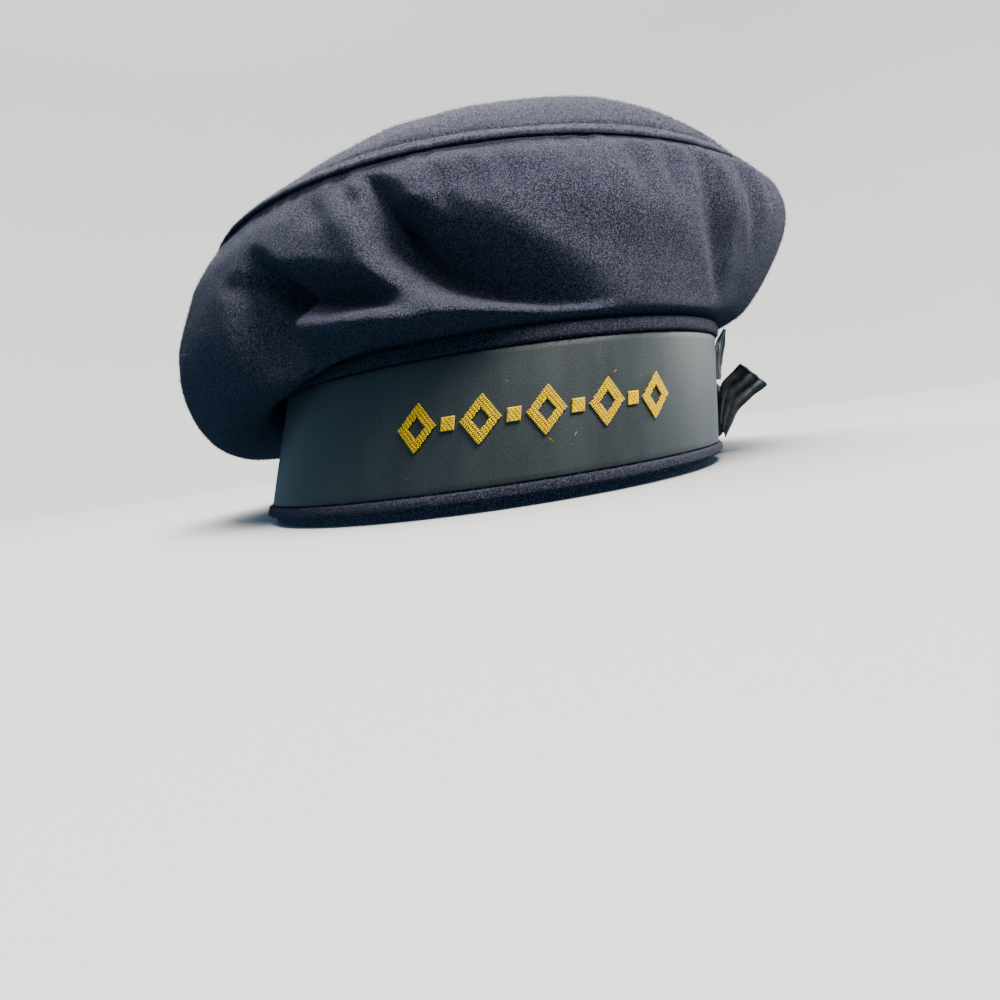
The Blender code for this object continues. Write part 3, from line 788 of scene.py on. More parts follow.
def top_places(divisions, rows):
    """The top panel's outer face, by row and column, from the seam in to the middle."""
    azimuth = crown_azimuths(divisions)
    share = 1.0 - np.linspace(0.0, 1.0, rows + 1)[:, None] ** TOP_CROWDING
    reach = seam_reach(azimuth)[None, :] * share
    inside = SEAM_RADIUS * (1.0 - share)
    ridge = SEAM_RIDGE * np.sin(math.pi * np.clip(inside / SEAM_LINE_INSIDE, 0.0, 1.0))
    groove = SEAM_GROOVE * smooth(1.0 - np.abs(inside - SEAM_LINE_INSIDE) / SEAM_LINE_WIDTH)
    rise = (DOME_RISE + DOME_RISE_TO_LEFT * share * np.sin(azimuth)) * (1.0 - share ** DOME_FLATNESS)
    height = seam_height(azimuth, reach) + rise + GAP
    rough = unevenness(polar(azimuth[None, :], reach, height), TOP_UNEVENNESS, 4.0)
    rough += TOP_PUCKER_DEPTH * puckers(azimuth, (1.0 - share[:, 0]) * 1.5, PUCKERS_ROUND, 3.0)
    return polar(azimuth[None, :], reach, height + ridge - groove + rough * smooth((1.0 - share) / TOP_SEWN))


places = top_places(TOP_DIVISIONS, TOP_ROWS)
places[-1] = places[-1].mean(axis=0)
shape = plain_tube(TOP_DIVISIONS, TOP_ROWS)
lay_tube(shape, places)
bmesh.ops.remove_doubles(shape, verts=shape.verts, dist=MERGE)
crown_top = make_piece("top_panel", shape, wool_finish, "melton", "crown_top")
give_wall(crown_top, CLOTH_THICKNESS)

# %% [markdown]
# ## The seam between them
# Where top and side meet, the edges are turned in and stitched down, which leaves one raised ridge between two
# sunk lines. It is a narrow bead that follows the seam. Thick cloth pulls in a little at each stitch, so the bead
# swells between stitches. The wool's finish darkens the two sunk lines, painted shade, and lightens the bead
# between them, a painted highlight.

# %% Build the seam's welt
EDGE_WELT_WIDTH = 0.0034
EDGE_WELT_RISE = 0.0013
EDGE_WELT_TILT = 42.0
SEAM_STITCHES = 260
STITCH_PULL = 0.05
EDGE_WELT_DIVISIONS = 1040
EDGE_WELT_ROWS = 12


def bead_places(count):
    """A bead's section, round it: places along the cloth and up from it, for half width 1 and rise 1."""
    turn = np.linspace(0.0, math.tau, count, endpoint=False)
    return np.cos(turn), 0.5 + 0.5 * np.sign(np.sin(turn)) * np.abs(np.sin(turn)) ** 0.8


def edge_welt_places(divisions, rows):
    """The raised seam, by place round its section and column round the cap."""
    azimuth = crown_azimuths(divisions)
    tilt = math.radians(EDGE_WELT_TILT)
    across, rise = bead_places(rows)
    wave = 1.0 + STITCH_PULL * np.cos(SEAM_STITCHES * azimuth)
    slack = noise_round(azimuth, 22.0, 0.0)
    along = np.outer(across, EDGE_WELT_WIDTH / 2.0 * (1.0 + 0.15 * slack))
    out = np.outer(rise, EDGE_WELT_RISE * wave * (1.0 + 0.2 * slack))
    reach = seam_reach(azimuth) + out * math.cos(tilt) - along * math.sin(tilt)
    height = seam_height(azimuth, seam_reach(azimuth)) + out * math.sin(tilt) + along * math.cos(tilt)
    return polar(azimuth[None, :], reach, height)


seam_shape = closed_tube(edge_welt_places(EDGE_WELT_DIVISIONS, EDGE_WELT_ROWS))
make_piece("seam_welt", seam_shape, wool_finish, "melton", "crown_edge_welt")

# %% [markdown]
# ## The band and its welts
# The band is a wall of the same wool that stands on the table. Above the ribbon a soft roll of cloth covers the
# seam to the crown, and below it another roll hides the ribbon's edge, over a lower strip that is turned in. The
# rolls are closed tubes too, round on the outside and flat where they lie on the band.

# %% Build the rolls and the band
RIM_INSET = 0.0024
LOWER_WELT_HEIGHT = 0.0034
WELT_STANDS_PROUD = 0.0012
RIM_EDGE = 0.0008
RIM_EDGE_HEIGHT = 0.0010
RIM_WALL = 0.0040
BAND_FACE = RIBBON_THICKNESS + GAP
WELT_BACK = BAND_FACE - GAP
WELT_DIVISIONS = 720
WELT_ROWS = 14
BAND_DIVISIONS = 360


def band_turns(divisions):
    """Turns round the band."""
    return np.linspace(0.0, math.tau, divisions, endpoint=False)


def welt_places(bottom, height, divisions, rows, seed):
    """A roll of cloth round the band, a little uneven, by place round its section and column."""
    turn = band_turns(divisions)
    bend = np.linspace(0.0, math.tau, rows, endpoint=False)[:, None]
    slack = noise_round(turn, 14.0, seed)
    fine = noise_round(turn, 60.0, seed)
    front = -WELT_STANDS_PROUD * (1.0 + 0.12 * slack + 0.06 * fine)
    depth = (front + WELT_BACK) / 2.0 + (WELT_BACK - front) / 2.0 * np.cos(bend)
    level = bottom + height / 2.0 * (1.0 + np.sign(np.sin(bend)) * np.abs(np.sin(bend)) ** 0.75)
    level = level + np.zeros_like(depth)
    return oval_point(turn, level, depth)


def band_places(section, divisions):
    """A solid ring round the band, from a closed section of (depth into the wall, height) points."""
    turn = band_turns(divisions)
    return [oval_point(turn, np.full_like(turn, height), inset) for inset, height in section]


# Both rolls take the darker wool: painted shade.
lower = welt_places(RIBBON_BOTTOM - GAP - LOWER_WELT_HEIGHT, LOWER_WELT_HEIGHT, WELT_DIVISIONS, WELT_ROWS, 1.0)
make_piece("lower_roll", closed_tube(lower), roll_finish_with_painted_shade, "melton", "lower_welt")
upper = welt_places(RIBBON_BOTTOM + RIBBON_WIDTH + GAP, UPPER_WELT_HEIGHT, WELT_DIVISIONS, WELT_ROWS, 2.0)
make_piece("upper_roll", closed_tube(upper), roll_finish_with_painted_shade, "melton", "upper_welt")

CREASE_HEIGHT = RIBBON_BOTTOM - LOWER_WELT_HEIGHT
BAND_SECTION = (
    (RIM_INSET + RIM_EDGE, 0.0),
    (RIM_INSET + RIM_EDGE / 4.0, RIM_EDGE_HEIGHT / 3.0),
    (RIM_INSET, RIM_EDGE_HEIGHT),
    (RIM_INSET - RIM_EDGE, CREASE_HEIGHT),
    (BAND_FACE, CREASE_HEIGHT + GAP),
    (BAND_FACE, BAND_HEIGHT / 2.0),
    (BAND_FACE, BAND_HEIGHT),
    (BAND_FACE + BAND_WALL, BAND_HEIGHT),
    (BAND_FACE + BAND_WALL, BAND_HEIGHT / 2.0),
    (BAND_FACE + RIM_WALL, RIM_EDGE_HEIGHT),
    (BAND_FACE + RIM_WALL, 0.0),
)
make_piece("band", closed_tube(band_places(BAND_SECTION, BAND_DIVISIONS)), wool_finish, "melton", "headband")

# %% [markdown]
# ## Silk ribbon
# The ribbon is black silk woven in fine ribs that run across it, and it shines softly grey where it faces the
# light. Ribs of a third of a millimetre are too fine to model, so they are a bump, drawn along the ribbon's own
# length. That needs coordinates that follow the ribbon round the band, so each silk piece carries its length and
# width, in metres, in a UV map.

# %% The silk's finish
SILK_DARK = (0.0090, 0.0122, 0.0112)
SILK_LIGHT = (0.0330, 0.0395, 0.0345)
# The bow is the same silk as the ribbon, here darker and less shiny: painted shade.
BOW_DARK_PAINTED_SHADE = (0.0055, 0.0072, 0.0085)
BOW_LIGHT_PAINTED_SHADE = (0.0170, 0.0200, 0.0210)
# The hem is the same black silk, made much paler: a painted highlight along its rolled edge.
HEM_DARK_PAINTED_HIGHLIGHT = (0.0600, 0.0660, 0.0650)
HEM_LIGHT_PAINTED_HIGHLIGHT = (0.1700, 0.1800, 0.1780)
RIB_PITCH = 0.00036
RIBBON_SHINE = 0.70
BOW_SHINE = 0.28


def ribbed_silk(name, dark, pale, shine):
    """Ribbed silk between two colours, and how much it shines."""
    material, silk = start_finish(name)
    length, width, _ = silk.node("ShaderNodeUVMap", {"uv_map": "cloth"}).split()

    def field(along, across, scale, detail):
        stretched = silk.node("ShaderNodeCombineXYZ", None, {"X": length * along, "Y": width * across})
        return stretched.clouds(scale, detail)

    ribs = silk.sum("SINE", length * (math.tau / RIB_PITCH) + field(1.0, 1.0, 300.0, 2.0) * 1.5)
    threads = silk.sum("SINE", width * (math.tau / (0.7 * RIB_PITCH)))
    slubs = field(1.0, 0.08, 2600.0, 2.0)
    smears = field(1.0, 0.35, 70.0, 3.0)
    speck = field(1.0, 1.0, 1900.0, 3.0)
    light = slubs.between(0.25, 0.8) * 0.15 + smears.between(0.33, 0.67) * 0.40 + speck.between(0.42, 0.66) * 0.45
    relief = ribs * 0.10 + threads * 0.08 + slubs * 0.35 + speck * 0.7
    return end_finish(
        material, light.blend(dark, pale), 0.34 + 0.16 * smears + 0.14 * speck, relief, 0.00006,
        {"Sheen Weight": 0.10, "Sheen Roughness": 0.5, "Specular IOR Level": shine},
    )


silk_finish = ribbed_silk("black_silk", SILK_DARK, SILK_LIGHT, RIBBON_SHINE)
# A darker copy of the silk for the bow's tails and knot: painted shade.
bow_finish_painted_shade = ribbed_silk("black_bow_silk", BOW_DARK_PAINTED_SHADE, BOW_LIGHT_PAINTED_SHADE, BOW_SHINE)
# A pale copy of the silk for the rolled hems: painted highlight.
hem_finish_painted_highlight = ribbed_silk("worn_silk_edge", HEM_DARK_PAINTED_HIGHLIGHT, HEM_LIGHT_PAINTED_HIGHLIGHT, RIBBON_SHINE)

# %% Build the ribbon
RIBBON_SLACK = ((0.060, 0.00022), (0.018, 0.00010))
RIBBON_DIVISIONS = 540
RIBBON_ROWS = 14
MAP_JUMP = 0.3


def map_cloth(shape, flat_places):
    """Write each point's place on the flat cloth, in metres, as a UV map that runs on where its ends meet."""
    layer = shape.loops.layers.uv.new("cloth")
    for face in shape.faces:
        values = [flat_places[loop.vert.index] for loop in face.loops]
        span = max(value[0] for value in values)
        for loop, value in zip(face.loops, values):
            wrapped = span - value[0] > MAP_JUMP
            loop[layer].uv = (value[0] + (flat_places["length"] if wrapped else 0.0), value[1])


def ribbon_shape(divisions, rows):
    """The ribbon round the band: a thin wall with rounded edges."""
    turn = band_turns(divisions)
    face = RIBBON_BOTTOM + RIBBON_WIDTH * (0.5 - 0.5 * np.cos(np.linspace(0.0, math.pi, rows)))
    heights = np.concatenate([face, face[::-1]])
    depth = np.concatenate([np.zeros(rows), np.full(rows, RIBBON_THICKNESS)])
    edge = 0.3 * RIBBON_THICKNESS
    for low, inward in ((0, 1.0), (rows - 1, 1.0), (rows, -1.0), (2 * rows - 1, -1.0)):
        depth[low] += inward * edge
    places = oval_point(turn, heights[:, None] + np.zeros_like(turn), depth[:, None] + np.zeros_like(turn))
    steps = np.linalg.norm(np.diff(places[0], axis=0, append=places[0][:1]), axis=1)
    travelled = np.concatenate([[0.0], np.cumsum(steps)[:-1]])
    slack = unevenness(places, RIBBON_SLACK, 8.0)
    inward = np.sin(np.pi * np.clip((heights - RIBBON_BOTTOM) / RIBBON_WIDTH, 0.0, 1.0))[:, None] * slack
    places = oval_point(turn, heights[:, None] + np.zeros_like(turn), depth[:, None] - np.abs(inward))
    shape = plain_tube(divisions, 2 * rows)
    flat = {"length": steps.sum()}
    for vertex in shape.verts:
        column = round(math.atan2(vertex.co.x, -vertex.co.y) / math.tau * divisions) % divisions
        row = round(vertex.co.z) % (2 * rows)
        flat[vertex.index] = (travelled[column], heights[row] - RIBBON_BOTTOM)
    map_cloth(shape, flat)
    lay_tube(shape, [*places, places[0]])
    bmesh.ops.remove_doubles(shape, verts=shape.verts, dist=MERGE)
    bmesh.ops.recalc_face_normals(shape, faces=shape.faces)
    return shape, steps.sum()


shape, ribbon_length = ribbon_shape(RIBBON_DIVISIONS, RIBBON_ROWS)
make_piece("band_ribbon", shape, silk_finish, "ribbon_silk", "ribbon")
print("ribbon", round(1000 * ribbon_length), "mm round the band")

# %% [markdown]
# ## Woven gold figures
# The real ribbon has gold thread woven into it at the front. Here it makes a generic row of open lozenges with
# small squares between them. Such weaving is a set of short floats: each thread lies on the silk for a
# millimetre, dives under, and the next row starts a little further on, so the dives run in slanting lines. A
# figure is made flat, as a thin pad with floats in rows over it, and is then laid on the ribbon's curve.

# %% The gold thread's finish
THREAD_DEEP = (0.880, 0.440, 0.002)
THREAD_GOLD = (1.000, 0.710, 0.004)
THREAD_PALE = (1.000, 0.900, 0.060)


def gold_thread(name):
    """Gold silk thread, with fine strands along it."""
    material, gold = start_finish(name)
    place = gold.node("ShaderNodeTexCoord", output="Object")
    strands, threads, wear = place.clouds(5200.0), place.clouds(950.0, 1.0), place.clouds(160.0)
    body = threads.between(0.28, 0.72).blend(THREAD_DEEP, THREAD_GOLD)
    colour = (strands.between(0.45, 0.85) * wear.between(0.3, 0.8)).blend(body, THREAD_PALE)
    fixed = {"Specular IOR Level": 0.12}
    return end_finish(material, colour, 0.50 + 0.2 * strands, strands + threads * 0.5, 0.00008, fixed)


gold_finish = gold_thread("gold_floss")

# %% Lay a flat shape on the ribbon
LOZENGES = 5
FIGURE_MIDDLE = 0.0135
FIGURE_PITCH = 0.0094
FIGURE_MID_HEIGHT = 0.0260
LOZENGE_WIDTH = 0.0120
LOZENGE_HEIGHT = 0.0145
LOZENGE_OPENING = 0.42
SQUARE_SIDE = 0.0040
FIGURE_THICKNESS = 0.0004
FIGURE_REACH = 60.0


def turn_at(distance):
    """The turn round the band that lies a distance along the ribbon from the front, toward the wearer's left."""
    turn = np.radians(np.arange(-FIGURE_REACH, FIGURE_REACH + 1.0))
    points = oval_point(turn, FIGURE_MID_HEIGHT)
    travelled = np.concatenate([[0.0], np.cumsum(np.linalg.norm(np.diff(points, axis=0), axis=1))])
    return np.interp(distance, travelled - np.interp(0.0, turn, travelled), turn)


def lay_on_ribbon(shape, middle):
    """Bend a flat shape (x along the ribbon, y up it, z out from it) onto the ribbon at a distance along it."""
    flat = np.array([vertex.co for vertex in shape.verts])
    turn = turn_at(middle + flat[:, 0])
    laid = oval_point(turn, FIGURE_MID_HEIGHT + flat[:, 1], -GAP - flat[:, 2])
    for vertex, place in zip(shape.verts, laid):
        vertex.co = place


# %% The ground and the floats of a figure
FLOAT_LENGTH = 0.00130
FLOAT_PITCH = 0.00055
FLOAT_RISE = 0.00030
FLOAT_SLANT = 0.36
FLOAT_FULLNESS = 0.56
FLOAT_LEAN = FLOAT_PITCH * 0.22
FLOAT_LEVEL = 0.55
FLOAT_END_GAP = 0.00003
SHORTEST_FLOAT = 0.0002
GROUND_LEVEL = 0.6
GROUND_CUTS = 5


def lozenge_spans(up):
    """Where a row at a height crosses the open lozenge: pairs of left and right ends."""
    share = abs(up) / (LOZENGE_HEIGHT / 2.0)
    outer = LOZENGE_WIDTH / 2.0 * (1.0 - share)
    inner = LOZENGE_WIDTH / 2.0 * (LOZENGE_OPENING - share)
    if inner > 0.0:
        return [(-outer, -inner), (inner, outer)]
    return [(-outer, outer)]


def square_spans(up):
    """Where a row crosses the square."""
    return [(-SQUARE_SIDE / 2.0, SQUARE_SIDE / 2.0)]


def add_float(shape, left, right, up):
    """One thread on the surface: a low, round-ended bead from left to right."""
    made = bmesh.ops.create_uvsphere(shape, u_segments=8, v_segments=6, radius=1.0)["verts"]
    for vertex in made:
        x, y, z = vertex.co
        vertex.co = (
            (left + right) / 2.0 + z * (right - left) / 2.0,
            up + y * FLOAT_PITCH * FLOAT_FULLNESS + FLOAT_LEAN * z,
            FIGURE_THICKNESS * FLOAT_LEVEL + x * FLOAT_RISE,
        )


def add_ground(shape, corners, opening):
    """The pad under the floats, with a hole of its own form where it is open."""
    made = bmesh.ops.create_circle(shape, segments=4, radius=1.0, cap_ends=True)["verts"]
    for vertex, corner in zip(made, corners):
        vertex.co = (*corner, 0.0)
    face = made[0].link_faces[0]
    if opening:
        half_width, half_height = LOZENGE_WIDTH / 2.0, LOZENGE_HEIGHT / 2.0
        depth = half_width * half_height / math.hypot(half_width, half_height) * (1.0 - opening)
        bmesh.ops.inset_region(shape, faces=[face], thickness=depth)
        bmesh.ops.delete(shape, geom=[face], context="FACES")
    ground = [face for face in shape.faces if face.is_valid]
    made = bmesh.ops.extrude_face_region(shape, geom=ground)["geom"]
    top = [part for part in made if isinstance(part, bmesh.types.BMVert)]
    bmesh.ops.translate(shape, verts=top, vec=(0.0, 0.0, FIGURE_THICKNESS * GROUND_LEVEL))
    bmesh.ops.subdivide_edges(shape, edges=shape.edges, cuts=GROUND_CUTS, use_grid_fill=True)
    bmesh.ops.recalc_face_normals(shape, faces=shape.faces)


def figure_shape(corners, opening, spans, half_height):
    """A woven figure, flat, about its own middle."""
    shape = bmesh.new()
    add_ground(shape, corners, opening)
    rows = int(half_height / FLOAT_PITCH)
    count = 0
    for row in range(-rows, rows + 1):
        up = row * FLOAT_PITCH
        for left, right in spans(up):
            start = left - (row * FLOAT_SLANT + left / FLOAT_LENGTH) % 1.0 * FLOAT_LENGTH
            while start < right - SHORTEST_FLOAT:
                low, high = max(start, left) + FLOAT_END_GAP, min(start + FLOAT_LENGTH, right) - FLOAT_END_GAP
                if high - low > SHORTEST_FLOAT:
                    add_float(shape, low, high, up)
                    count += 1
                start += FLOAT_LENGTH
    return shape, count


lozenge_corners = ((0.0, -LOZENGE_HEIGHT / 2.0), (LOZENGE_WIDTH / 2.0, 0.0),
                   (0.0, LOZENGE_HEIGHT / 2.0), (-LOZENGE_WIDTH / 2.0, 0.0))
half = SQUARE_SIDE / 2.0
square_corners = ((-half, -half), (half, -half), (half, half), (-half, half))
figures = 2 * LOZENGES - 1
for k in range(figures):
    if k % 2 == 0:
        name = f"lozenge_{k // 2 + 1}"
        shape, count = figure_shape(lozenge_corners, LOZENGE_OPENING, lozenge_spans, LOZENGE_HEIGHT / 2.0)
    else:
        name = f"square_{k // 2 + 1}"
        shape, count = figure_shape(square_corners, 0.0, square_spans, SQUARE_SIDE / 2.0)
    lay_on_ribbon(shape, FIGURE_MIDDLE + (k - (figures - 1) / 2.0) * FIGURE_PITCH)
    make_piece(f"gold_{name}", shape, gold_finish, "gold_thread", f"ribbon_{name}")
    print(count, "floats")

# %% [markdown]
# ## The bow
# At the wearer's left the ribbon's ends are tied in a flat bow: a small knot, one loop laid back along the band,
# one pleat that stands up, and two cut ends. Tied silk keeps sharp pleats where it is squeezed by the knot and
# opens out away from it. Each part is a strip with a table of sections along its length. A smooth curve joins the
# sections, and the strip is pleated across, deeply near the knot and less toward its end, where the raw edge is
# turned in twice and sewn.

# %% The bow's sections
BOW_AZIMUTH = 84.0
BOW_ARC_RADIUS = 0.124
BOW_CLOTH = 0.0005
KNOT_PLACE = (3.9, 8.2, 22.5)
KNOT_SIZE = (3.1, 4.4, 5.6)
# A row: out, along and up to the middle, half the width in the same three directions, and the depth of the pleats.
STRIPS = {
    "bow_tail_front": (
        (4.5, 0.5, 9.8, 1.3, 0.5, -3.3, 0.6),
        (5.9, 0.6, 16.4, 2.3, 0.6, -5.6, 0.9),
        (8.3, 0.8, 22.4, 3.6, 1.3, -5.7, 1.2),
        (13.6, 1.2, 26.7, 4.4, 2.8, -5.6, 1.3),
        (18.3, 1.5, 29.9, 6.5, 4.4, -4.9, 1.2),
    ),
    "bow_pleat_up": (
        (3.5, 1.3, 30.2, 1.9, 3.5, 0.0, 0.5),
        (4.1, 1.2, 35.5, 2.6, 7.2, 0.0, 0.8),
        (4.5, 0.6, 40.5, 2.8, 7.8, 0.0, 0.9),
        (5.2, 0.0, 45.0, 2.6, 5.6, 0.0, 0.8),
        (6.6, -0.6, 49.8, 0.9, 2.0, 0.0, 0.3),
    ),
    "bow_loop_back": (
        (5.0, 13.6, 25.0, 0.0, 0.0, 2.6, 0.6),
        (8.0, 24.0, 25.6, 0.0, 0.0, 9.5, 0.8),
        (8.4, 36.0, 25.2, 0.0, 0.0, 15.0, 0.5),
        (7.2, 43.0, 24.8, 0.0, 0.0, 16.6, 0.2),
        (4.9, 45.4, 24.6, 0.0, 0.0, 17.0, 0.0),
        (2.7, 43.0, 24.8, 0.0, 0.0, 16.6, 0.2),
        (1.7, 36.0, 25.2, 0.0, 0.0, 15.0, 0.3),
        (1.7, 24.0, 25.6, 0.0, 0.0, 9.5, 0.3),
        (2.2, 13.6, 25.0, 0.0, 0.0, 2.6, 0.4),
    ),
    "bow_tail_back": (
        (6.4, 13.1, 17.6, 0.6, 0.4, 2.2, 0.5),
        (9.4, 19.2, 17.4, 0.8, 1.2, 6.0, 1.0),
        (11.4, 28.2, 16.8, 0.6, 2.0, 9.6, 1.2),
        (12.0, 39.2, 16.2, 0.0, 2.8, 11.2, 1.3),
        (11.2, 50.2, 15.8, 0.0, 3.4, 12.0, 1.3),
    ),
}
STRIP_FOLDS = 3
STRIP_LENGTHWAYS = 90
STRIP_ACROSS = 60
CRINKLES = ((0.0065, 0.00050), (0.0024, 0.00016))
HEM_RADIUS = 0.00055
THREAD_MERGE = 0.0000001


def bow_point(out, along, height):
    """Places of the bow, in millimetres out from the ribbon, along it toward the back, and up from the rim."""
    turn = math.radians(BOW_AZIMUTH) + along * MM / BOW_ARC_RADIUS
    return oval_point(turn, height * MM, -out * MM)


def strip_sections(sections, rows):
    """The strip's sections, read smoothly at many rows, as an array by row and table column."""
    table = np.array(sections)
    table = np.vstack([2.0 * table[0] - table[1], table, 2.0 * table[-1] - table[-2]])
    read = []
    for share in np.linspace(0.0, len(sections) - 1.0, rows):
        low = min(int(share), len(sections) - 2)
        read.append(through(*table[low:low + 4], share - low))
    return np.array(read)


def strip_places(sections, rows, columns, seed):
    """The strip's middle face by row along it and column across it."""
    table = strip_sections(sections, rows)
    middles = bow_point(*table[:, :3].T)
    onward = np.gradient(middles, axis=0)
    edge = bow_point(*(table[:, :3] + table[:, 3:6]).T) - middles
    face = np.cross(onward, edge)
    face /= np.linalg.norm(face, axis=1)[:, None]
    across = np.linspace(-1.0, 1.0, columns)
    wave = np.cos(math.pi * STRIP_FOLDS * (across + 1.0))
    sharp = 0.5 * np.sign(wave) * np.abs(wave) ** 0.75
    pleat = table[:, 6:7] * MM * sharp[None, :]
    places = middles[:, None, :] + edge[:, None, :] * across[None, :, None] + face[:, None, :] * pleat[..., None]
    crinkle = unevenness(places, CRINKLES, seed)
    return places + face[:, None, :] * crinkle[..., None]


def sheet_size(places):
    """The real width and length of a sheet given by row and column: the longest row and the longest column."""
    lengths = np.linalg.norm(np.diff(places, axis=0), axis=2).sum(axis=0)
    widths = np.linalg.norm(np.diff(places, axis=1), axis=2).sum(axis=1)
    return widths.max(), lengths.max()


def sheet_area(places):
    """The area of a sheet given by row and column."""
    along = np.diff(places, axis=0)[:, :-1]
    across = np.diff(places, axis=1)[:-1]
    return np.linalg.norm(np.cross(along, across), axis=2).sum()


def thread_shape(line, radius, columns=8):
    """A closed, round thread along a line of points, tapered to a point at both ends."""
    line = np.array(line)
    onward = np.gradient(line, axis=0)
    onward /= np.linalg.norm(onward, axis=1)[:, None]
    aside = np.cross(onward, (0.3, 0.2, 1.0))
    aside /= np.linalg.norm(aside, axis=1)[:, None]
    upward = np.cross(aside, onward)
    bend = np.linspace(0.0, math.tau, columns, endpoint=False)[None, :, None]
    taper = np.sin(np.linspace(0.0, math.pi, len(line)))[:, None, None] ** 0.25
    taper[0] = taper[-1] = 0.0
    section = aside[:, None, :] * np.cos(bend) + upward[:, None, :] * np.sin(bend)
    shape = plain_tube(columns, len(line) - 1)
    lay_tube(shape, line[:, None, :] + radius * taper * section)
    shape.loops.layers.uv.new("cloth")
    bmesh.ops.remove_doubles(shape, verts=shape.verts, dist=THREAD_MERGE)
    bmesh.ops.recalc_face_normals(shape, faces=shape.faces)
    return shape


def plain_strip(rows, columns):
    """A flat grid of points, whose x is the row and whose y is the column."""
    shape = bmesh.new()
    bmesh.ops.create_grid(shape, x_segments=rows - 1, y_segments=columns - 1, size=1.0, calc_uvs=True)
    for vertex in shape.verts:
        vertex.co.x = round((vertex.co.x + 1.0) / 2.0 * (rows - 1))
        vertex.co.y = round((vertex.co.y + 1.0) / 2.0 * (columns - 1))
    return shape


def strip_shape(places):
    """A sheet of silk laid over places by row and column, with its flat size in its UV map."""
    rows, columns = places.shape[:2]
    width, length = sheet_size(places)
    shape = plain_strip(rows, columns)
    layer = shape.loops.layers.uv.new("cloth")
    for face in shape.faces:
        for loop in face.loops:
            row, column, _ = loop.vert.co
            loop[layer].uv = (row / (rows - 1) * length, column / (columns - 1) * width)
    for vertex in shape.verts:
        vertex.co = places[round(vertex.co.x)][round(vertex.co.y)]
    return shape


cut = {}
cut_area = {}
hems = {}
for seed, (name, sections) in enumerate(STRIPS.items()):
    places = strip_places(sections, STRIP_LENGTHWAYS, STRIP_ACROSS, float(seed))
    # The tails take the darker silk, painted shade; the pleat and the loop take the ribbon's.
    finish = bow_finish_painted_shade if "tail" in name else silk_finish
    strip = make_piece(name.replace("bow_", "silk_"), strip_shape(places), finish, "ribbon_silk", name)
    give_wall(strip, BOW_CLOTH, offset=0.0)
    cut[strip.name] = sheet_size(places)
    cut_area[strip.name] = sheet_area(places)
    if "tail" in name:
        hem = thread_shape(places[-1], HEM_RADIUS)
        # The hem takes the pale silk: painted highlight.
        hems[strip.name] = make_piece(f"{strip.name}_hem", hem, hem_finish_painted_highlight, "ribbon_silk")
    print("flat size in millimetres:", [round(1000 * size) for size in cut[strip.name]])

# %% Build the knot
KNOT_RIDGES = 5
KNOT_RIDGE_RISE = 0.10
KNOT_CREASES = 17.0
KNOT_CREASE_RISE = 0.03
KNOT_CRUMPLE = 0.08
KNOT_FLAT_SIZE = (0.03, 0.012)

shape = bmesh.new()
bmesh.ops.create_uvsphere(shape, u_segments=64, v_segments=40, radius=1.0, calc_uvs=True)
knot_map = shape.loops.layers.uv.new("cloth")
for face in shape.faces:
    for loop in face.loops:
        x, y, z = loop.vert.co
        loop[knot_map].uv = (KNOT_FLAT_SIZE[0] * math.atan2(y, x) / math.tau, KNOT_FLAT_SIZE[1] * z)
for vertex in shape.verts:
    x, y, z = vertex.co
    turn = math.atan2(y, x)
    wrap = 1.0 + KNOT_RIDGE_RISE * math.cos(KNOT_RIDGES * turn + 1.6 * z)
    wrap += KNOT_CREASE_RISE * math.cos(KNOT_CREASES * turn - 3.0 * z)
    crumple = 1.0 + KNOT_CRUMPLE * noise.noise(vertex.co * 2.6)
    place = [p + s * c * wrap * crumple for p, s, c in zip(KNOT_PLACE, KNOT_SIZE, (x, y, z))]
    vertex.co = bow_point(*place)
# The knot takes the darker silk: painted shade.
make_piece("silk_knot", shape, bow_finish_painted_shade, "ribbon_silk", "bow_knot")

# %% [markdown]
# ## Nap
# Wool stands up in fine hairs that soften the outline and catch the light. They are too many to model one by one,
# so geometry nodes scatter one bent hair over a cloth's outer face, each leaning its own way, and the result is
# kept as an ordinary mesh. A particle system would look the same here, but an exported model loses it. Where the
# hairs fall depends on the order of the faces, which the operators don't keep from run to run, so the faces are
# first put in a fixed one.

# %% Scatter hairs
HAIR_LENGTH = 0.0011
HAIR_WIDTH = 0.00010
HAIR_LEAN = 1.30
HAIR_BEND = 0.35
HAIR_SIZES = (0.45, 1.25)
LIGHT_IN_THE_NAP = 3.0


def hair_object(name, finish):
    """One hair: a narrow strip, widest and bent at its middle and pointed at both ends."""
    shape = bmesh.new()
    bmesh.ops.create_grid(shape, x_segments=1, y_segments=2, size=0.5)
    for vertex in shape.verts:
        up = vertex.co.y + 0.5
        bend = HAIR_BEND * up * up
        vertex.co = (
            vertex.co.x * HAIR_WIDTH * math.sin(math.pi * up),
            HAIR_LENGTH * bend,
            HAIR_LENGTH * (up - 0.25 * up * up),
        )
    bmesh.ops.remove_doubles(shape, verts=shape.verts, dist=MERGE)
    mesh = to_mesh(name, shape)
    mesh.materials.append(finish)
    return add_object(name, mesh)


def in_order(mesh):
    """A bare copy of a mesh with its faces in one fixed order, so that hairs fall on it alike in every run."""
    shape = bmesh.new()
    points = [shape.verts.new(vertex.co) for vertex in mesh.vertices]
    corners = [list(face.vertices) for face in mesh.polygons]
    firsts = [loop.index(min(loop)) for loop in corners]
    for loop in sorted(loop[first:] + loop[:first] for loop, first in zip(corners, firsts)):
        shape.faces.new([points[corner] for corner in loop])
    return to_mesh("carrier", shape)


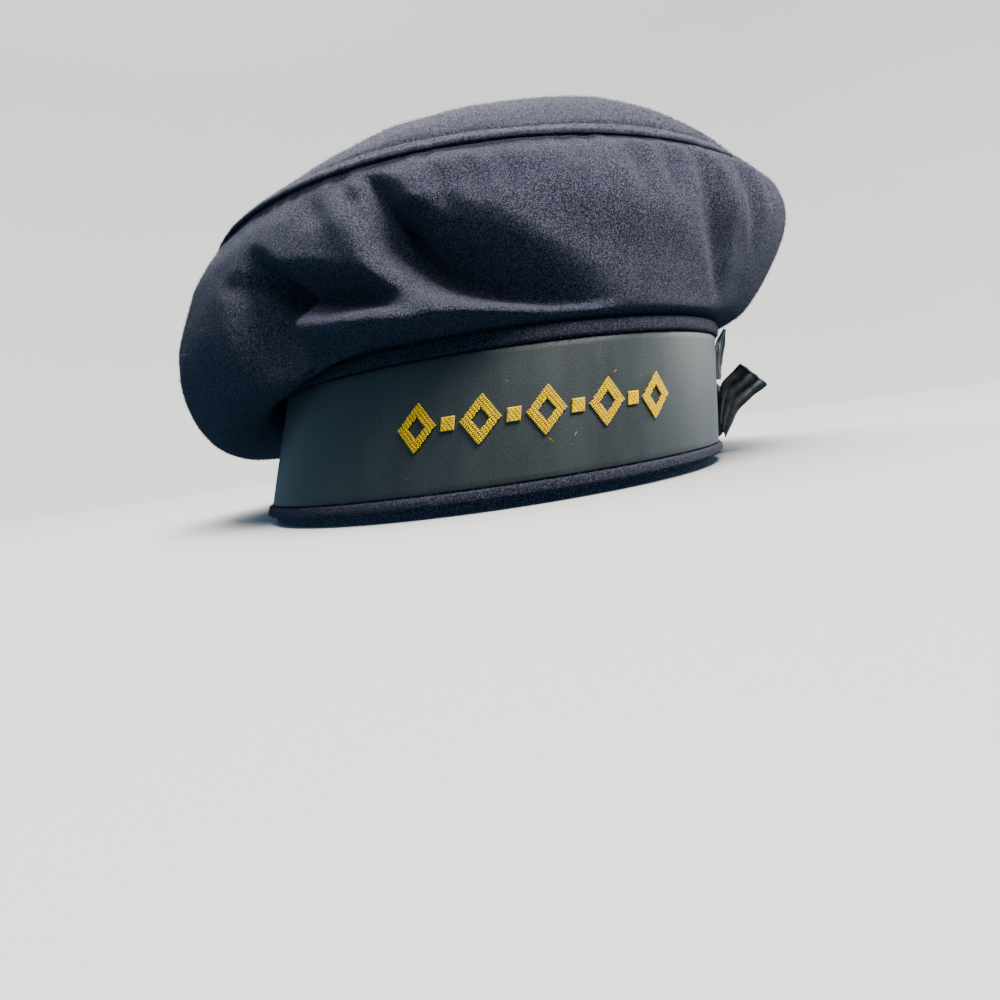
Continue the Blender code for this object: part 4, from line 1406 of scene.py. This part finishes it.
def scatter(carrier_mesh, hair, density, seed):
    """A mesh of many copies of a hair, standing on a mesh's faces."""
    tree = bpy.data.node_groups.new("scatter", "GeometryNodeTree")
    tree.interface.new_socket("Geometry", in_out="INPUT", socket_type="NodeSocketGeometry")
    tree.interface.new_socket("Geometry", in_out="OUTPUT", socket_type="NodeSocketGeometry")
    field = Strand(tree)
    cloth = field.node("NodeGroupInput")
    roots = field.node("GeometryNodeDistributePointsOnFaces", None, {"Mesh": cloth, "Density": density, "Seed": seed})
    upright = Strand(tree, roots.socket.node.outputs["Rotation"])
    vector = {"data_type": "FLOAT_VECTOR"}
    tilt = field.node("FunctionNodeRandomValue", vector,
                      {0: (-HAIR_LEAN, -HAIR_LEAN, -math.pi), 1: (HAIR_LEAN, HAIR_LEAN, math.pi), "Seed": seed + 1})
    turned = field.node("FunctionNodeRotateRotation", {"rotation_space": "LOCAL"},
                        {"Rotation": upright, "Rotate By": tilt})
    sizes = {2: HAIR_SIZES[0], 3: HAIR_SIZES[1], "Seed": seed + 2}
    size = field.node("FunctionNodeRandomValue", {"data_type": "FLOAT"}, sizes, output=1)
    model = field.node("GeometryNodeObjectInfo", None, {"Object": hair}, output="Geometry")
    copies = field.node("GeometryNodeInstanceOnPoints", None,
                        {"Points": roots, "Instance": model, "Rotation": turned, "Scale": size})
    real = field.node("GeometryNodeRealizeInstances", None, {"Geometry": copies})
    field.node("NodeGroupOutput", None, {"Geometry": real})
    carrier = add_object("carrier", carrier_mesh)
    carrier.modifiers.new("scatter", "NODES").node_group = tree
    graph = bpy.context.evaluated_depsgraph_get()
    mesh = bpy.data.meshes.new_from_object(carrier.evaluated_get(graph), depsgraph=graph)
    bpy.data.objects.remove(carrier)
    bpy.data.node_groups.remove(tree)
    return mesh


nap_finish = melton("navy_hair", LIGHT_IN_THE_NAP)
hair = hair_object("hair", nap_finish)
NAP_COLUMNS = ("name", "cloth", "hairs_per_square_millimetre")
NAPS = (
    ("side_nap", "side_panel", 1.27),
    ("top_nap", "top_panel", 1.35),
    ("seam_nap", "seam_welt", 1.35),
    ("upper_roll_nap", "upper_roll", 1.35),
    ("lower_roll_nap", "lower_roll", 1.35),
)
for seed, row in enumerate(NAPS):
    nap = dict(zip(NAP_COLUMNS, row))
    cloth = bpy.data.objects[nap["cloth"]]
    mesh = scatter(in_order(cloth.data), hair, nap["hairs_per_square_millimetre"] * 1e6, 10 * seed)
    mesh.name = nap["name"]
    mesh.materials.clear()
    mesh.materials.append(nap_finish)
    piece = add_object(nap["name"], mesh)
    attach(piece, "root")
    print(nap["name"], len(mesh.polygons) // 2, "hairs")
bpy.data.objects.remove(hair)

# %% [markdown]
# ## Loose threads and lint
# A worn cap is never quite clean: threads stand out at its right side, a few pale fibres lie on the wool, and the
# gold weaving has loose ends. Each is one thin, curved thread. They are placed one by one where the photograph has
# them, because an even scatter of lint looks like a pattern.

# %% Lay the threads
THREAD_COLUMNS = ("azimuth", "share", "out", "left", "up", "arch", "radius")
WOOL_THREADS = (
    (-47.9, 0.83, 2.6, -1.6, 0.6, 1.2, 0.07),
    (-50.0, 0.82, 2.2, -1.0, -0.8, 0.9, 0.06),
    (-49.0, 0.84, 2.8, -2.2, 1.4, 0.6, 0.06),
    (-55.1, 0.53, 3.0, -0.6, -1.2, 1.6, 0.07),
    (-4.3, 0.985, 0.9, 1.8, 0.6, 0.8, 0.09),
    (-8.0, 0.55, 0.5, 1.2, 0.5, 0.7, 0.09),
    (10.7, 0.73, 0.3, 1.0, -0.4, 0.4, 0.07),
    (14.0, 0.65, 0.3, -0.8, 0.9, 0.4, 0.06),
    (22.0, 0.36, 0.3, 0.9, 0.8, 0.4, 0.06),
    (-33.0, 0.62, 0.3, 1.1, 0.3, 0.4, 0.06),
    (4.0, 0.40, 0.2, -0.9, 0.6, 0.3, 0.05),
    (-20.0, 0.14, 0.2, 0.8, -0.7, 0.3, 0.05),
)
RIBBON_THREAD_COLUMNS = ("along", "height", "out", "left", "up", "arch", "radius")
RIBBON_LINT = (
    (-26.0, 12.0, 0.2, 0.9, 0.4, 0.2, 0.05),
    (2.0, 35.0, 0.2, -0.6, 0.7, 0.2, 0.05),
    (21.0, 15.5, 0.2, 0.7, -0.3, 0.2, 0.05),
    (-38.0, 30.0, 0.2, 0.5, 0.8, 0.2, 0.05),
    (44.0, 32.0, 0.2, 0.8, 0.2, 0.2, 0.05),
)
GOLD_ENDS = (
    (14.2, 18.2, 0.5, 1.6, -1.7, 0.7, 0.08),
    (22.6, 18.8, 0.4, -1.4, -1.5, 0.6, 0.08),
    (33.4, 33.6, 0.4, 1.8, 1.1, 0.6, 0.08),
)
THREAD_POINTS = 9
THREAD_SIDES = 5
LINT_DARK = (0.16, 0.16, 0.19)
LINT_LIGHT = (0.55, 0.55, 0.56)


def arched(root, out, thread):
    """A thread's line: from a root, in an arch, to an end that lies out, left and up from it."""
    left = Vector((-out.y, out.x, 0.0)).normalized()
    end = out * thread["out"] + left * thread["left"] + Vector((0.0, 0.0, 1.0)) * thread["up"]
    crest = out * thread["arch"]
    steps = np.linspace(0.0, 1.0, THREAD_POINTS)
    return [root + (end * step + crest * math.sin(math.pi * step)) * MM for step in steps]


def make_threads(name, lines, finish, slot):
    """One piece of many threads, each a (line, radius)."""
    shape = bmesh.new()
    for line, radius in lines:
        one = thread_shape(line, radius * MM, THREAD_SIDES)
        mesh = to_mesh("thread", one)
        shape.from_mesh(mesh)
        bpy.data.meshes.remove(mesh)
    return make_piece(name, shape, finish, slot)


def wool_line(row):
    """A thread on the side panel, from a row of the table."""
    thread = dict(zip(THREAD_COLUMNS, row))
    azimuth = math.radians(thread["azimuth"])
    column = np.argmin(np.abs(np.sin((crown_azimuths(SIDE_DIVISIONS) - azimuth) / 2.0)))
    root = Vector(side_rows[1 + round(thread["share"] * SIDE_ROWS)][column])
    return arched(root, Vector((math.sin(azimuth), -math.cos(azimuth), 0.2)), thread), thread["radius"]


def ribbon_line(row):
    """A thread on the ribbon, from a row of the table."""
    thread = dict(zip(RIBBON_THREAD_COLUMNS, row))
    turn = float(turn_at(thread["along"] * MM))
    root = Vector(oval_point(turn, thread["height"] * MM, -GAP))
    return arched(root, Vector((math.sin(turn), -math.cos(turn), 0.0)), thread), thread["radius"]


lint_finish, lint = start_finish("pale_lint")
lint_tone = lint.node("ShaderNodeTexCoord", output="Object").clouds(700.0)
end_finish(lint_finish, lint_tone.blend(LINT_DARK, LINT_LIGHT), 0.8 + 0.1 * lint_tone, None, 0.0)
make_threads("wool_threads", [wool_line(row) for row in WOOL_THREADS], lint_finish, "melton")
make_threads("ribbon_lint", [ribbon_line(row) for row in RIBBON_LINT], lint_finish, "ribbon_silk")
make_threads("gold_ends", [ribbon_line(row) for row in GOLD_ENDS], gold_finish, "gold_thread")

# %% [markdown]
# ## The cloth as it was cut
# Every sheet is listed with the size that it had before it was sewn. The crown's two panels are cut in the
# round, so their area is given too. The side panel's is measured along its folds, since gathering takes nothing
# from a cloth.

side_rows = np.array(side_rows)
side_cut = sheet_size(side_rows)
side_area = sheet_area(np.concatenate([side_rows, side_rows[:, :1]], axis=1))
top_cut = 2.0 * SEAM_RADIUS + DOME_RISE
naps = {nap: bpy.data.objects[nap] for nap, _, _ in NAPS}
SHEETS = (
    ("side_panel", side_cut, "gathered", ["band", "upper_roll"], [naps["side_nap"]], side_area),
    ("top_panel", (top_cut, top_cut), "stretched", ["side_panel"], [naps["top_nap"]], math.pi * top_cut ** 2 / 4.0),
    ("band", (ribbon_length, BAND_HEIGHT), "stretched", [], [], None),
    ("band_ribbon", (ribbon_length, RIBBON_WIDTH), "stretched", ["band"], [], None),
)
STRIP_SHEETS = (
    ("silk_tail_front", "gathered", [hems["silk_tail_front"]]),
    ("silk_tail_back", "gathered", [hems["silk_tail_back"]]),
    ("silk_pleat_up", "gathered", []),
    ("silk_loop_back", "folded", []),
)
SHEETS += tuple(
    (name, cut[name], held, ["silk_knot"], with_pieces, cut_area[name]) for name, held, with_pieces in STRIP_SHEETS
)
for name, flat, held, rests_on, with_pieces, area in SHEETS:
    print(name, "cut", [round(1000 * float(side)) for side in flat], "mm", "" if area is None else round(1e4 * area))
